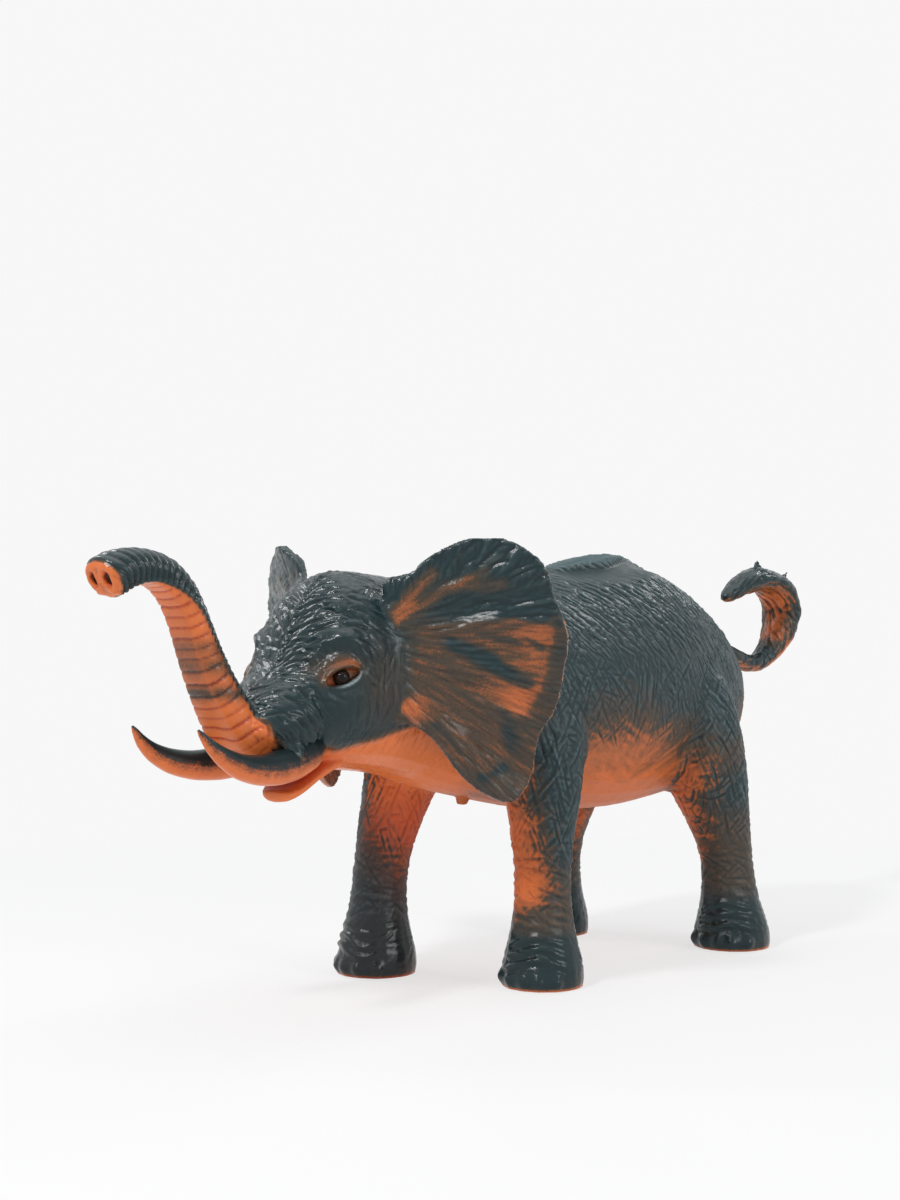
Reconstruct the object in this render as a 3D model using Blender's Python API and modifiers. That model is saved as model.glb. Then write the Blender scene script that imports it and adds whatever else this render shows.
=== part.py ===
"""A rubber toy elephant that stands with its trunk raised.

It faces -Y, its left side is +X, and Z is up. Lengths are in metres. While the pieces are made, the origin
is on the ground midway between the feet. At the end the whole figure is moved so that the origin is on the
ground under the middle of its outline.
"""

from math import atan2, cos, pi, sin

import bmesh
import bpy
from mathutils import Matrix, Vector

# The figure as a whole. What sits on the body follows its height, length and half width.
BACK_HEIGHT = 0.142
FORM_LENGTH = 0.261
FORM_HALF_WIDTH = 0.038
SNOUT_Y = -0.151
CLEARANCE = 0.0003
OVERRUN = 0.004

# Neck joint
NECK_SEAM_Y = SNOUT_Y + 0.2720 * FORM_LENGTH
NECK_PLUG_RADIUS = 0.3947 * FORM_HALF_WIDTH
NECK_PLUG_LENGTH = 0.012
NECK_PLUG_HEIGHT = 0.7042 * BACK_HEIGHT

# Hollow of the torso
SKIN_WALL = 0.003
HOLLOW_FRONT_Y = SNOUT_Y + 0.2854 * FORM_LENGTH
HOLLOW_LENGTH = 0.6935 * FORM_LENGTH

# Front legs
FRONT_TRACK = 1.4605 * FORM_HALF_WIDTH
FRONT_LEFT_FOOT_Y = SNOUT_Y + 0.4253 * FORM_LENGTH
FRONT_RIGHT_FOOT_Y = SNOUT_Y + 0.3487 * FORM_LENGTH
SHOULDER_SPREAD = 1.1579 * FORM_HALF_WIDTH
FRONT_LEFT_SHOULDER_Y = SNOUT_Y + 0.4521 * FORM_LENGTH
FRONT_RIGHT_SHOULDER_Y = SNOUT_Y + 0.4023 * FORM_LENGTH
SHOULDER_HEIGHT = 0.8028 * BACK_HEIGHT
FRONT_LEG_RADIUS = 0.0145

# Rear legs
REAR_TRACK = 1.7632 * FORM_HALF_WIDTH
REAR_LEFT_FOOT_Y = SNOUT_Y + 0.8142 * FORM_LENGTH
REAR_RIGHT_FOOT_Y = SNOUT_Y + 0.7356 * FORM_LENGTH
HIP_SPREAD = 1.2632 * FORM_HALF_WIDTH
REAR_LEFT_HIP_Y = SNOUT_Y + 0.7663 * FORM_LENGTH
REAR_RIGHT_HIP_Y = SNOUT_Y + 0.7605 * FORM_LENGTH
HIP_HEIGHT = 0.7746 * BACK_HEIGHT
REAR_LEG_RADIUS = 0.0180

# Pegs that hold the legs
LEG_PEG_RADIUS = 0.005
LEG_PEG_LENGTH = 0.026
LEG_PEG_FOOT_HEIGHT = 0.4085 * BACK_HEIGHT

# Trunk
TRUNK_HALF_WIDTH = 0.2579 * FORM_HALF_WIDTH
TRUNK_HALF_DEPTH = 0.0535 * BACK_HEIGHT
TRUNK_REACH = 0.0600
TRUNK_RISE = 0.3803 * BACK_HEIGHT
TRUNK_ROOT_Y = SNOUT_Y + 0.0575 * FORM_LENGTH
TRUNK_ROOT_HEIGHT = 0.5563 * BACK_HEIGHT
TRUNK_PEG_RADIUS = 0.0282 * BACK_HEIGHT
TRUNK_PEG_LENGTH = 0.018
NOSTRIL_RADIUS = 0.0014
NOSTRIL_DEPTH = 0.006
NOSTRIL_SPREAD = 0.0062

# Lower jaw
JAW_LENGTH = 0.022
JAW_HALF_WIDTH = 0.3158 * FORM_HALF_WIDTH
JAW_HEIGHT = 0.1092 * BACK_HEIGHT
JAW_BACK_Y = SNOUT_Y + 0.1513 * FORM_LENGTH
JAW_BASE_HEIGHT = 0.4472 * BACK_HEIGHT
JAW_PEG_Y = SNOUT_Y + 0.1303 * FORM_LENGTH
JAW_PEG_RADIUS = 0.0025
JAW_PEG_LENGTH = 0.012

# Ears
EAR_WIDTH = 0.052
EAR_HEIGHT = 0.0800
EAR_FOOT_HEIGHT = 0.4380 * BACK_HEIGHT
EAR_THICKNESS = 0.0024
EAR_ROOT_X = 0.5789 * FORM_HALF_WIDTH
EAR_ROOT_Y = SNOUT_Y + 0.1877 * FORM_LENGTH
EAR_LOWER_FLARE = 29 * pi / 180
EAR_UPPER_FLARE = 59 * pi / 180
EAR_FOLD_DEPTH = 0.0016
EAR_TAB_LENGTH = 0.012
EAR_TAB_HEIGHT = 0.020
EAR_TAB_THICKNESS = 0.0016
EAR_TAB_CENTRE_HEIGHT = 0.7465 * BACK_HEIGHT
EAR_SPOKE_START_SHARE = 0.2

# Tusks
TUSK_RADIUS = 0.0289 * BACK_HEIGHT
TUSK_SPREAD = 0.8158 * FORM_HALF_WIDTH
TUSK_REACH = 0.0450
TUSK_SWEEP = 0.0915 * BACK_HEIGHT
TUSK_ROOT_Y = SNOUT_Y + 0.0843 * FORM_LENGTH
TUSK_LOW_HEIGHT = 0.5261 * BACK_HEIGHT
SHEATH_RADIUS = 0.0423 * BACK_HEIGHT
SHEATH_SPREAD = 0.6447 * FORM_HALF_WIDTH
SHEATH_Y = SNOUT_Y + 0.0575 * FORM_LENGTH
SHEATH_HEIGHT = 0.5458 * BACK_HEIGHT

# Eyes
EYE_RADIUS = 0.0183 * BACK_HEIGHT
EYE_SPREAD = 0.9737 * FORM_HALF_WIDTH
EYE_Y = SNOUT_Y + 0.1096 * FORM_LENGTH
EYE_HEIGHT = 0.7113 * BACK_HEIGHT

# Tail
TAIL_REACH = 0.0465
TAIL_RISE = 0.0345
TAIL_ROOT_Y = SNOUT_Y + 0.9770 * FORM_LENGTH
TAIL_LOW_HEIGHT = 0.7056 * BACK_HEIGHT
TUFT_HALF_WIDTH = 0.0085
TUFT_HALF_DEPTH = 0.0052
TAIL_PEG_RADIUS = 0.0020
TAIL_PEG_LENGTH = 0.018

# Filler plug
PLUG_RADIUS = 0.0018
PLUG_Y = SNOUT_Y + 0.3946 * FORM_LENGTH
PLUG_FOOT_HEIGHT = 0.4028 * BACK_HEIGHT
PLUG_LENGTH = 0.009
PLUG_ROUNDING = 0.0006

# Numbers of sides and points, and how rounded the meshes are
FORM_SIDES = 16
LIMB_SIDES = 12
SMALL_SIDES = 10
PEG_SIDES = 14
ROUNDING_LEVELS = 1

# Body and head in one row of sections, snout to rump. Each row holds how far along the form it is, as a share
# of its length, the top and the underside as shares of the back's height, the half width as a share of the
# form's half width, and how high the widest place is between underside and top.
FORM_SECTION_SHARES = (
    (0.000, 0.620, 0.577, 0.16, 0.50),
    (0.012, 0.648, 0.563, 0.30, 0.50),
    (0.031, 0.680, 0.560, 0.375, 0.48),
    (0.050, 0.701, 0.556, 0.42, 0.46),
    (0.069, 0.725, 0.553, 0.45, 0.44),
    (0.084, 0.775, 0.546, 0.475, 0.44),
    (0.103, 0.838, 0.535, 0.540, 0.46),
    (0.122, 0.891, 0.525, 0.605, 0.49),
    (0.145, 0.930, 0.514, 0.640, 0.51),
    (0.172, 0.939, 0.507, 0.655, 0.50),
    (0.211, 0.932, 0.500, 0.645, 0.50),
    (0.249, 0.925, 0.486, 0.660, 0.50),
    (0.287, 0.918, 0.465, 0.700, 0.48),
    (0.341, 0.915, 0.437, 0.790, 0.46),
    (0.402, 0.921, 0.415, 0.880, 0.46),
    (0.471, 0.933, 0.387, 0.950, 0.46),
    (0.548, 0.946, 0.370, 0.985, 0.46),
    (0.625, 0.980, 0.359, 1.000, 0.46),
    (0.693, 1.003, 0.361, 0.980, 0.45),
    (0.762, 0.973, 0.373, 0.915, 0.43),
    (0.831, 0.917, 0.387, 0.815, 0.43),
    (0.889, 0.864, 0.415, 0.660, 0.44),
    (0.935, 0.806, 0.470, 0.480, 0.47),
    (0.970, 0.757, 0.540, 0.320, 0.50),
    (0.990, 0.715, 0.610, 0.150, 0.52),
)

# Leg sections, ground to shoulder or hip: height as a share of the joint's height, lean from the foot towards
# the joint, and radius as a share of the leg's radius at the top. The first row lies below the ground.
FRONT_LEG_SHARES = (
    (-0.040, 0.00, 0.86),
    (0.020, 0.00, 0.92),
    (0.070, 0.00, 0.89),
    (0.125, 0.00, 0.76),
    (0.190, 0.02, 0.655),
    (0.270, 0.06, 0.610),
    (0.375, 0.18, 0.645),
    (0.480, 0.42, 0.770),
    (0.590, 0.68, 0.920),
    (0.710, 0.86, 1.000),
    (0.850, 1.00, 0.780),
    (0.940, 1.00, 0.480),
)
REAR_LEG_SHARES = (
    (-0.040, 0.00, 0.71),
    (0.020, 0.00, 0.76),
    (0.070, 0.01, 0.73),
    (0.130, 0.03, 0.61),
    (0.200, 0.08, 0.52),
    (0.290, 0.12, 0.50),
    (0.380, 0.26, 0.57),
    (0.470, 0.46, 0.71),
    (0.580, 0.70, 0.88),
    (0.700, 0.90, 0.95),
    (0.830, 1.00, 0.84),
    (0.940, 1.00, 0.52),
)

# Trunk centreline, root to tip: forward and up as shares of its reach and rise, half width and half depth as
# shares of those at the root.
TRUNK_SHARES = (
    (0.000, -0.020, 1.00, 1.00),
    (0.170, 0.070, 1.00, 1.00),
    (0.265, 0.235, 0.90, 0.90),
    (0.341, 0.365, 0.80, 0.80),
    (0.405, 0.500, 0.72, 0.74),
    (0.450, 0.625, 0.68, 0.71),
    (0.493, 0.742, 0.66, 0.69),
    (0.554, 0.864, 0.65, 0.68),
    (0.645, 0.959, 0.65, 0.67),
    (0.755, 0.995, 0.67, 0.69),
    (0.870, 0.982, 0.73, 0.74),
    (0.950, 0.950, 0.78, 0.79),
    (1.000, 0.915, 0.77, 0.79),
)

# Lower jaw, back to lip: along its length, top and underside as shares of its height, half width share.
JAW_SHARES = (
    (0.00, 1.000, 0.61, 0.92),
    (0.27, 0.935, 0.55, 1.00),
    (0.50, 0.775, 0.39, 0.96),
    (0.68, 0.580, 0.15, 0.83),
    (0.84, 0.390, 0.00, 0.62),
    (1.00, 0.320, 0.05, 0.33),
)

# Ear rows, lower tip to top: height as a share of the ear's height, inner and outer edge as shares of its
# width.
EAR_ROW_SHARES = (
    (0.000, 0.66, 0.72),
    (0.030, 0.53, 0.775),
    (0.080, 0.42, 0.825),
    (0.150, 0.33, 0.835),
    (0.220, 0.25, 0.840),
    (0.285, 0.17, 0.845),
    (0.325, -0.08, 0.905),
    (0.400, -0.08, 0.940),
    (0.500, -0.08, 0.955),
    (0.640, -0.08, 0.995),
    (0.700, -0.08, 0.955),
    (0.790, -0.08, 0.900),
    (0.870, -0.10, 0.875),
    (0.920, 0.16, 0.825),
    (0.970, 0.30, 0.725),
    (1.000, 0.42, 0.600),
)
EAR_COLUMNS = 6
EAR_FOLDS = 4
EAR_FLARE_START_SHARE = 0.10
EAR_FLARE_END_SHARE = 0.81

# Tusk path, root to tip: forward share of its reach, rise share of its sweep, sideways share of half its
# spread and thickness share.
TUSK_SHARES = (
    (0.00, 0.30, 0.68, 1.00),
    (0.14, 0.12, 0.76, 1.00),
    (0.30, 0.04, 0.84, 1.00),
    (0.48, 0.02, 0.91, 0.97),
    (0.66, 0.14, 0.97, 0.86),
    (0.80, 0.36, 1.00, 0.68),
    (0.90, 0.62, 0.98, 0.46),
    (0.97, 0.90, 0.94, 0.22),
    (0.99, 1.00, 0.93, 0.10),
)

# Tail path, root to tip: back share of its reach, rise share of its rise, half width and half depth shares.
TAIL_SHARES = (
    (0.000, 0.170, 0.38, 0.62),
    (0.130, 0.125, 0.38, 0.62),
    (0.260, 0.067, 0.38, 0.62),
    (0.390, 0.017, 0.38, 0.62),
    (0.505, 0.000, 0.40, 0.62),
    (0.620, 0.030, 0.46, 0.66),
    (0.750, 0.120, 0.58, 0.75),
    (0.870, 0.256, 0.78, 0.90),
    (0.957, 0.445, 0.95, 1.00),
    (0.995, 0.634, 1.00, 1.00),
    (0.935, 0.837, 1.00, 0.96),
    (0.750, 0.977, 0.92, 0.92),
    (0.540, 1.000, 0.80, 0.88),
    (0.320, 0.910, 0.66, 0.76),
    (0.170, 0.817, 0.46, 0.52),
    (0.054, 0.750, 0.14, 0.22),
)

# Pointed locks on the tuft: where each starts and ends, back and up as shares of the tail's reach and rise,
# and its radius as a share of the tuft's half depth.
TUFT_LOCK_SHARES = (
    (0.590, 0.960, 0.590, 1.220, 0.85),
    (0.900, 0.830, 1.070, 1.090, 0.80),
)


def clear_scene():
    for old in list(bpy.data.objects):
        bpy.data.objects.remove(old, do_unlink=True)


def new_collection(name):
    collection = bpy.data.collections.new(name)
    bpy.context.scene.collection.children.link(collection)
    return collection


def rubber(name, colour, roughness):
    material = bpy.data.materials.new(name)
    material.use_nodes = True
    shader = material.node_tree.nodes["Principled BSDF"]
    shader.inputs["Base Color"].default_value = (*colour, 1)
    shader.inputs["Roughness"].default_value = roughness
    shader.inputs["Metallic"].default_value = 0
    return material


def add_object(name, mesh, collection, holder):
    piece = bpy.data.objects.new(name, mesh)
    collection.objects.link(piece)
    piece.parent = holder
    return piece


def make_cutter(piece):
    piece.hide_render = True
    piece.display_type = "WIRE"
    return piece


def mesh_from(name, maker):
    """A mesh whose faces the maker adds to an empty bmesh."""
    shape = bmesh.new()
    maker(shape)
    bmesh.ops.recalc_face_normals(shape, faces=shape.faces)
    mesh = bpy.data.meshes.new(name)
    shape.to_mesh(mesh)
    shape.free()
    mesh.shade_smooth()
    return mesh


def section(centre, across, upward, half_across, half_up, half_down, sides, rounded=True):
    """One oval ring. Rounding draws a straight-sided ring in, so one that is rounded later starts larger."""
    swell = 3 / (2 + cos(2 * pi / sides)) if rounded else 1
    ring = []
    for side in range(sides):
        turn = 2 * pi * side / sides
        half = half_up if sin(turn) > 0 else half_down
        out = across * (swell * half_across * cos(turn))
        ring.append(centre + out + upward * (swell * half * sin(turn)))
    return ring


def skin_rings(shape, rings):
    """Faces from each ring to the next, with both ends closed."""
    rows = [[shape.verts.new(point) for point in ring] for ring in rings]
    sides = len(rows[0])
    for here, there in zip(rows, rows[1:]):
        for side in range(sides):
            after = (side + 1) % sides
            shape.faces.new((here[side], here[after], there[after], there[side]))
    shape.faces.new(rows[0])
    shape.faces.new(rows[-1])


def round_off(piece):
    rounding = piece.modifiers.new("Rounding", "SUBSURF")
    rounding.levels = ROUNDING_LEVELS
    rounding.render_levels = ROUNDING_LEVELS


def shell(name, rings, collection, holder):
    """A closed skin over a row of rings."""
    return add_object(name, mesh_from(name, lambda shape: skin_rings(shape, rings)), collection, holder)


def loft(name, rings, collection, holder):
    """A closed skin over a row of rings, rounded off."""
    piece = shell(name, rings, collection, holder)
    round_off(piece)
    return piece


def combine(piece, other, operation):
    step = piece.modifiers.new(f"{operation.title()} {other.name}", "BOOLEAN")
    step.operation = operation
    step.object = other


def cut(piece, *cutters):
    for cutter in cutters:
        combine(piece, cutter, "DIFFERENCE")


def join(piece, *others):
    for other in others:
        combine(piece, other, "UNION")


def form_rings(grow, rounded=True):
    """Sections of body and head, each drawn larger all round by grow."""
    across = Vector((1, 0, 0))
    upward = Vector((0, 0, 1))
    rings = []
    for along, top, under, width, waist in FORM_SECTION_SHARES:
        top_z = BACK_HEIGHT * top
        under_z = BACK_HEIGHT * under
        waist_z = under_z + (top_z - under_z) * waist
        past_end = -grow if along == 0 else grow if along == FORM_SECTION_SHARES[-1][0] else 0
        centre = Vector((0, SNOUT_Y + FORM_LENGTH * along + past_end, waist_z))
        half_width = FORM_HALF_WIDTH * width + grow
        half_up = top_z - waist_z + grow
        half_down = waist_z - under_z + grow
        rings.append(section(centre, across, upward, half_width, half_up, half_down, FORM_SIDES, rounded))
    return rings


def hollow_rings(inset):
    """Straight-sided sections of the hollow in the torso, each inset from the skin's outside."""
    rings = []
    for ring in form_rings(-inset, rounded=False):
        y = ring[0].y
        if HOLLOW_FRONT_Y < y < HOLLOW_FRONT_Y + HOLLOW_LENGTH:
            rings.append(ring)
    return rings


def block(name, low, high, collection, holder):
    low = Vector(low)
    high = Vector(high)
    place = Matrix.Translation((low + high) / 2) @ Matrix.Diagonal((*(high - low), 1))
    mesh = mesh_from(name, lambda shape: bmesh.ops.create_cube(shape, size=1, matrix=place))
    return add_object(name, mesh, collection, holder)


def cone(name, start, end, radius, end_radius, collection, holder):
    """A round bar between two points that narrows along its way."""
    start = Vector(start)
    end = Vector(end)
    way = end - start
    place = Matrix.Translation((start + end) / 2) @ way.to_track_quat("Z", "Y").to_matrix().to_4x4()

    def maker(shape):
        bmesh.ops.create_cone(
            shape,
            cap_ends=True,
            segments=PEG_SIDES,
            radius1=radius,
            radius2=end_radius,
            depth=way.length,
            matrix=place,
        )

    return add_object(name, mesh_from(name, maker), collection, holder)


def rod(name, start, end, radius, collection, holder):
    return cone(name, start, end, radius, radius, collection, holder)


def ball(name, centre, radius, collection, holder):
    place = Matrix.Translation(centre)

    def maker(shape):
        bmesh.ops.create_uvsphere(
            shape, u_segments=PEG_SIDES, v_segments=PEG_SIDES // 2, radius=radius, matrix=place
        )

    return add_object(name, mesh_from(name, maker), collection, holder)


def leg_rings(foot_x, foot_y, joint_x, joint_y, joint_height, radius, shares):
    rings = []
    for height, lean, size in shares:
        x = foot_x + (joint_x - foot_x) * lean
        y = foot_y + (joint_y - foot_y) * lean
        centre = Vector((x, y, joint_height * height))
        half = radius * size
        rings.append(section(centre, Vector((1, 0, 0)), Vector((0, 1, 0)), half, half, half, LIMB_SIDES))
    return rings


def swept_rings(places, sizes, sides):
    """Rings square to a path that lies in the plane X = 0."""
    rings = []
    for index, (place, (half_width, half_depth)) in enumerate(zip(places, sizes)):
        before = places[max(index - 1, 0)]
        after = places[min(index + 1, len(places) - 1)]
        way = (after - before).normalized()
        side = Vector((1, 0, 0))
        upward = side.cross(way)
        rings.append(section(place, side, upward, half_width, half_depth, half_depth, sides))
    return rings


def trunk_places():
    places = []
    for forward, up, _, _ in TRUNK_SHARES:
        places.append(Vector((0, TRUNK_ROOT_Y - TRUNK_REACH * forward, TRUNK_ROOT_HEIGHT + TRUNK_RISE * up)))
    return places


def tail_place(back, up):
    return Vector((0, TAIL_ROOT_Y + TAIL_REACH * back, TAIL_LOW_HEIGHT + TAIL_RISE * up))


def ear_flare(height):
    """How far the ear stands out from straight back, at a share of its height."""
    turned = (height - EAR_FLARE_START_SHARE) / (EAR_FLARE_END_SHARE - EAR_FLARE_START_SHARE)
    return EAR_LOWER_FLARE + (EAR_UPPER_FLARE - EAR_LOWER_FLARE) * min(max(turned, 0), 1)


def ear_point(side, out, height):
    """A point of the ear's middle surface. Side is 1 for the left ear, and out is a share of its width."""
    flare = ear_flare(height)
    z = EAR_FOOT_HEIGHT + EAR_HEIGHT * height
    root = (EAR_TAB_CENTRE_HEIGHT - EAR_FOOT_HEIGHT) / EAR_HEIGHT
    spoke = atan2(height - root, max(out, 0) + EAR_SPOKE_START_SHARE)
    fold = EAR_FOLD_DEPTH * max(out, 0) * cos(2 * EAR_FOLDS * spoke)
    x = EAR_ROOT_X + EAR_WIDTH * out * sin(flare) + fold * cos(flare)
    y = EAR_ROOT_Y + EAR_WIDTH * out * cos(flare) - fold * sin(flare)
    return Vector((side * x, y, z))


def ear_blade(name, side, collection, holder):
    """A thin curved sheet of even thickness, whose root runs into the head."""

    def maker(shape):
        rows = []
        for height, inner, outer in EAR_ROW_SHARES:
            row = []
            for column in range(EAR_COLUMNS):
                out = inner + (outer - inner) * column / (EAR_COLUMNS - 1)
                row.append(shape.verts.new(ear_point(side, out, height)))
            rows.append(row)
        for here, there in zip(rows, rows[1:]):
            for column in range(EAR_COLUMNS - 1):
                shape.faces.new((here[column], here[column + 1], there[column + 1], there[column]))

    blade = add_object(name, mesh_from(name, maker), collection, holder)
    round_off(blade)
    thickness = blade.modifiers.new("Thickness", "SOLIDIFY")
    thickness.thickness = EAR_THICKNESS
    thickness.offset = 0
    return blade


def ear_tab(name, side, grow, collection, holder):
    """The tab on the ear's root, or with grow the slot that it fits."""
    height = (EAR_TAB_CENTRE_HEIGHT - EAR_FOOT_HEIGHT) / EAR_HEIGHT
    centre = ear_point(side, 0, height)
    turn = Matrix.Rotation(-side * ear_flare(height), 4, "Z")
    size = Vector((EAR_TAB_THICKNESS, EAR_TAB_LENGTH, EAR_TAB_HEIGHT)) + Vector((2 * grow,) * 3)
    place = Matrix.Translation(centre) @ turn @ Matrix.Diagonal((*size, 1))
    mesh = mesh_from(name, lambda shape: bmesh.ops.create_cube(shape, size=1, matrix=place))
    return add_object(name, mesh, collection, holder)


def tusk_horn(name, side, grow, collection, holder):
    """A bent horn that tapers to its tip, or with grow the socket for its root."""
    places = []
    sizes = []
    for forward, up, out, thick in TUSK_SHARES:
        x = side * TUSK_SPREAD / 2 * out
        places.append(Vector((x, TUSK_ROOT_Y - TUSK_REACH * forward, TUSK_LOW_HEIGHT + TUSK_SWEEP * up)))
        sizes.append(TUSK_RADIUS * thick + grow)
    rings = []
    for index, (place, half) in enumerate(zip(places, sizes)):
        before = places[max(index - 1, 0)]
        after = places[min(index + 1, len(places) - 1)]
        way = (after - before).normalized()
        across = way.cross(Vector((0, 0, 1))).normalized()
        upward = across.cross(way)
        centre = place - way * (grow if index == 0 else 0)
        rings.append(section(centre, across, upward, half, half, half, SMALL_SIDES))
    return loft(name, rings, collection, holder)


def jaw_rings():
    across = Vector((1, 0, 0))
    upward = Vector((0, 0, 1))
    rings = []
    for along, top, under, width in JAW_SHARES:
        top_z = JAW_BASE_HEIGHT + JAW_HEIGHT * top
        under_z = JAW_BASE_HEIGHT + JAW_HEIGHT * under
        centre = Vector((0, JAW_BACK_Y - JAW_LENGTH * along, (top_z + under_z) / 2))
        half = (top_z - under_z) / 2
        rings.append(section(centre, across, upward, JAW_HALF_WIDTH * width, half, half, LIMB_SIDES))
    return rings


def rest_on_origin(holder, pieces):
    """Moves the figure so that the origin is on the ground under the middle of its outline."""
    bpy.context.view_layer.update()
    depsgraph = bpy.context.evaluated_depsgraph_get()
    corners = []
    for piece in pieces:
        shown = piece.evaluated_get(depsgraph)
        corners.extend(shown.matrix_world @ Vector(corner) for corner in shown.bound_box)
    middle_x = (min(c.x for c in corners) + max(c.x for c in corners)) / 2
    middle_y = (min(c.y for c in corners) + max(c.y for c in corners)) / 2
    holder.location = (-middle_x, -middle_y, 0)
    bpy.context.view_layer.update()


COLOURS = {
    "torso": ((0.020, 0.042, 0.048), 0.38),
    "stuffing": ((0.800, 0.780, 0.740), 0.90),
    "filler_plug": ((0.640, 0.190, 0.060), 0.45),
    "head": ((0.022, 0.046, 0.052), 0.34),
    "trunk": ((0.640, 0.190, 0.060), 0.42),
    "lower_jaw": ((0.660, 0.160, 0.050), 0.42),
    "ear_left": ((0.030, 0.050, 0.052), 0.36),
    "ear_right": ((0.030, 0.050, 0.052), 0.36),
    "tusk_left": ((0.100, 0.070, 0.050), 0.30),
    "tusk_right": ((0.100, 0.070, 0.050), 0.30),
    "eye_left": ((0.008, 0.008, 0.010), 0.10),
    "eye_right": ((0.008, 0.008, 0.010), 0.10),
    "front_leg_left": ((0.030, 0.048, 0.050), 0.36),
    "front_leg_right": ((0.350, 0.110, 0.045), 0.42),
    "rear_leg_left": ((0.030, 0.048, 0.050), 0.38),
    "rear_leg_right": ((0.030, 0.048, 0.050), 0.38),
    "tail": ((0.040, 0.045, 0.045), 0.36),
}


class Figure:
    """The figure while it is made: where its pieces and cutters go, and the pieces made so far."""

    def __init__(self):
        self.parts = new_collection("toy_elephant")
        self.cutters = new_collection("cutters")
        self.holder = bpy.data.objects.new("figure", None)
        self.parts.objects.link(self.holder)
        self.pieces = {}

    def keep(self, maker, name, *sizes):
        """Makes a piece that the figure is built of, with its material."""
        piece = maker(name, *sizes, self.parts, self.holder)
        colour, roughness = COLOURS[name]
        piece.data.materials.append(rubber(name, colour, roughness))
        self.pieces[name] = piece
        return piece

    def tool(self, maker, name, *sizes):
        """Makes a shape that only cuts or joins."""
        return make_cutter(maker(name, *sizes, self.cutters, self.holder))

    def peg_and_hole(self, name, start, way, radius, length):
        """A peg from a start along a way, and the hole for it with a clearance round it and past its end."""
        start = Vector(start)
        way = Vector(way).normalized()
        peg = self.tool(rod, f"{name}_peg", start, start + way * length, radius)
        hole = self.tool(rod, f"{name}_hole", start, start + way * (length + CLEARANCE), radius + CLEARANCE)
        return peg, hole


def make_body(figure):
    """Torso, stuffing and head, which share one outline and part at the neck."""
    wide = 2 * FORM_HALF_WIDTH
    far = 2 * FORM_LENGTH
    seam_back = NECK_SEAM_Y + CLEARANCE / 2
    seam_front = NECK_SEAM_Y - CLEARANCE / 2
    ahead = figure.tool(block, "ahead_of_neck", (-wide, -far, -wide), (wide, seam_back, far))
    behind = figure.tool(block, "behind_neck", (-wide, seam_front, -wide), (wide, far, far))

    torso = figure.keep(loft, "torso", form_rings(0))
    cut(torso, ahead, figure.tool(shell, "hollow", hollow_rings(SKIN_WALL)))
    stuffing = figure.keep(shell, "stuffing", hollow_rings(SKIN_WALL + CLEARANCE))

    head = figure.keep(loft, "head", form_rings(0))
    cut(head, behind)
    start = (0, NECK_SEAM_Y - OVERRUN, NECK_PLUG_HEIGHT)
    plug, hole = figure.peg_and_hole("neck", start, (0, 1, 0), NECK_PLUG_RADIUS, OVERRUN + NECK_PLUG_LENGTH)
    join(head, plug)
    cut(torso, hole)
    cut(stuffing, hole)


def make_leg(figure, name, side, in_front, foot_y, joint_y):
    """A leg with a flat sole, whose peg passes through the torso's skin."""
    track = FRONT_TRACK if in_front else REAR_TRACK
    spread = SHOULDER_SPREAD if in_front else HIP_SPREAD
    joint_height = SHOULDER_HEIGHT if in_front else HIP_HEIGHT
    radius = FRONT_LEG_RADIUS if in_front else REAR_LEG_RADIUS
    shares = FRONT_LEG_SHARES if in_front else REAR_LEG_SHARES
    joint_x = side * spread / 2
    rings = leg_rings(side * track / 2, foot_y, joint_x, joint_y, joint_height, radius, shares)
    leg = figure.keep(loft, name, rings)
    cut(leg, bpy.data.objects["form_seat"], bpy.data.objects["ground"])
    peg, hole = figure.peg_and_hole(
        name, (joint_x, joint_y, LEG_PEG_FOOT_HEIGHT), (0, 0, 1), LEG_PEG_RADIUS, LEG_PEG_LENGTH
    )
    join(leg, peg)
    cut(figure.pieces["torso"], hole)
    cut(figure.pieces["stuffing"], hole)


def make_tusks(figure):
    """Horns let into sheaths that swell from the snout."""
    head = figure.pieces["head"]
    for name, side in (("left", 1), ("right", -1)):
        centre = Vector((side * SHEATH_SPREAD / 2, SHEATH_Y, SHEATH_HEIGHT))
        join(head, figure.tool(ball, f"sheath_{name}", centre, SHEATH_RADIUS))
        figure.tool(ball, f"sheath_seat_{name}", centre, SHEATH_RADIUS + CLEARANCE)
    for name, side in (("left", 1), ("right", -1)):
        figure.keep(tusk_horn, f"tusk_{name}", side, 0)
        cut(head, figure.tool(tusk_horn, f"tusk_seat_{name}", side, CLEARANCE))


def make_trunk(figure):
    """A tube with a peg in the snout and two nostrils in its tip."""
    places = trunk_places()
    sizes = []
    for _, _, wide, deep in TRUNK_SHARES:
        sizes.append((TRUNK_HALF_WIDTH * wide, TRUNK_HALF_DEPTH * deep))
    trunk = figure.keep(loft, "trunk", swept_rings(places, sizes, LIMB_SIDES))
    for name in ("form_seat", "sheath_seat_left", "sheath_seat_right", "tusk_seat_left", "tusk_seat_right"):
        cut(trunk, bpy.data.objects[name])
    way = places[0] - places[2]
    peg, hole = figure.peg_and_hole("trunk", places[2], way, TRUNK_PEG_RADIUS, TRUNK_PEG_LENGTH)
    join(trunk, peg)
    cut(figure.pieces["head"], hole)
    tip = places[-1]
    inward = (places[-2] - tip).normalized()
    for side in (-1, 1):
        mouth = tip - inward * OVERRUN + Vector((side * NOSTRIL_SPREAD / 2, 0, 0))
        end = tip + inward * NOSTRIL_DEPTH + Vector((side * NOSTRIL_SPREAD / 2, 0, 0))
        cut(trunk, figure.tool(rod, f"nostril_{side}", mouth, end, NOSTRIL_RADIUS))


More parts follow.
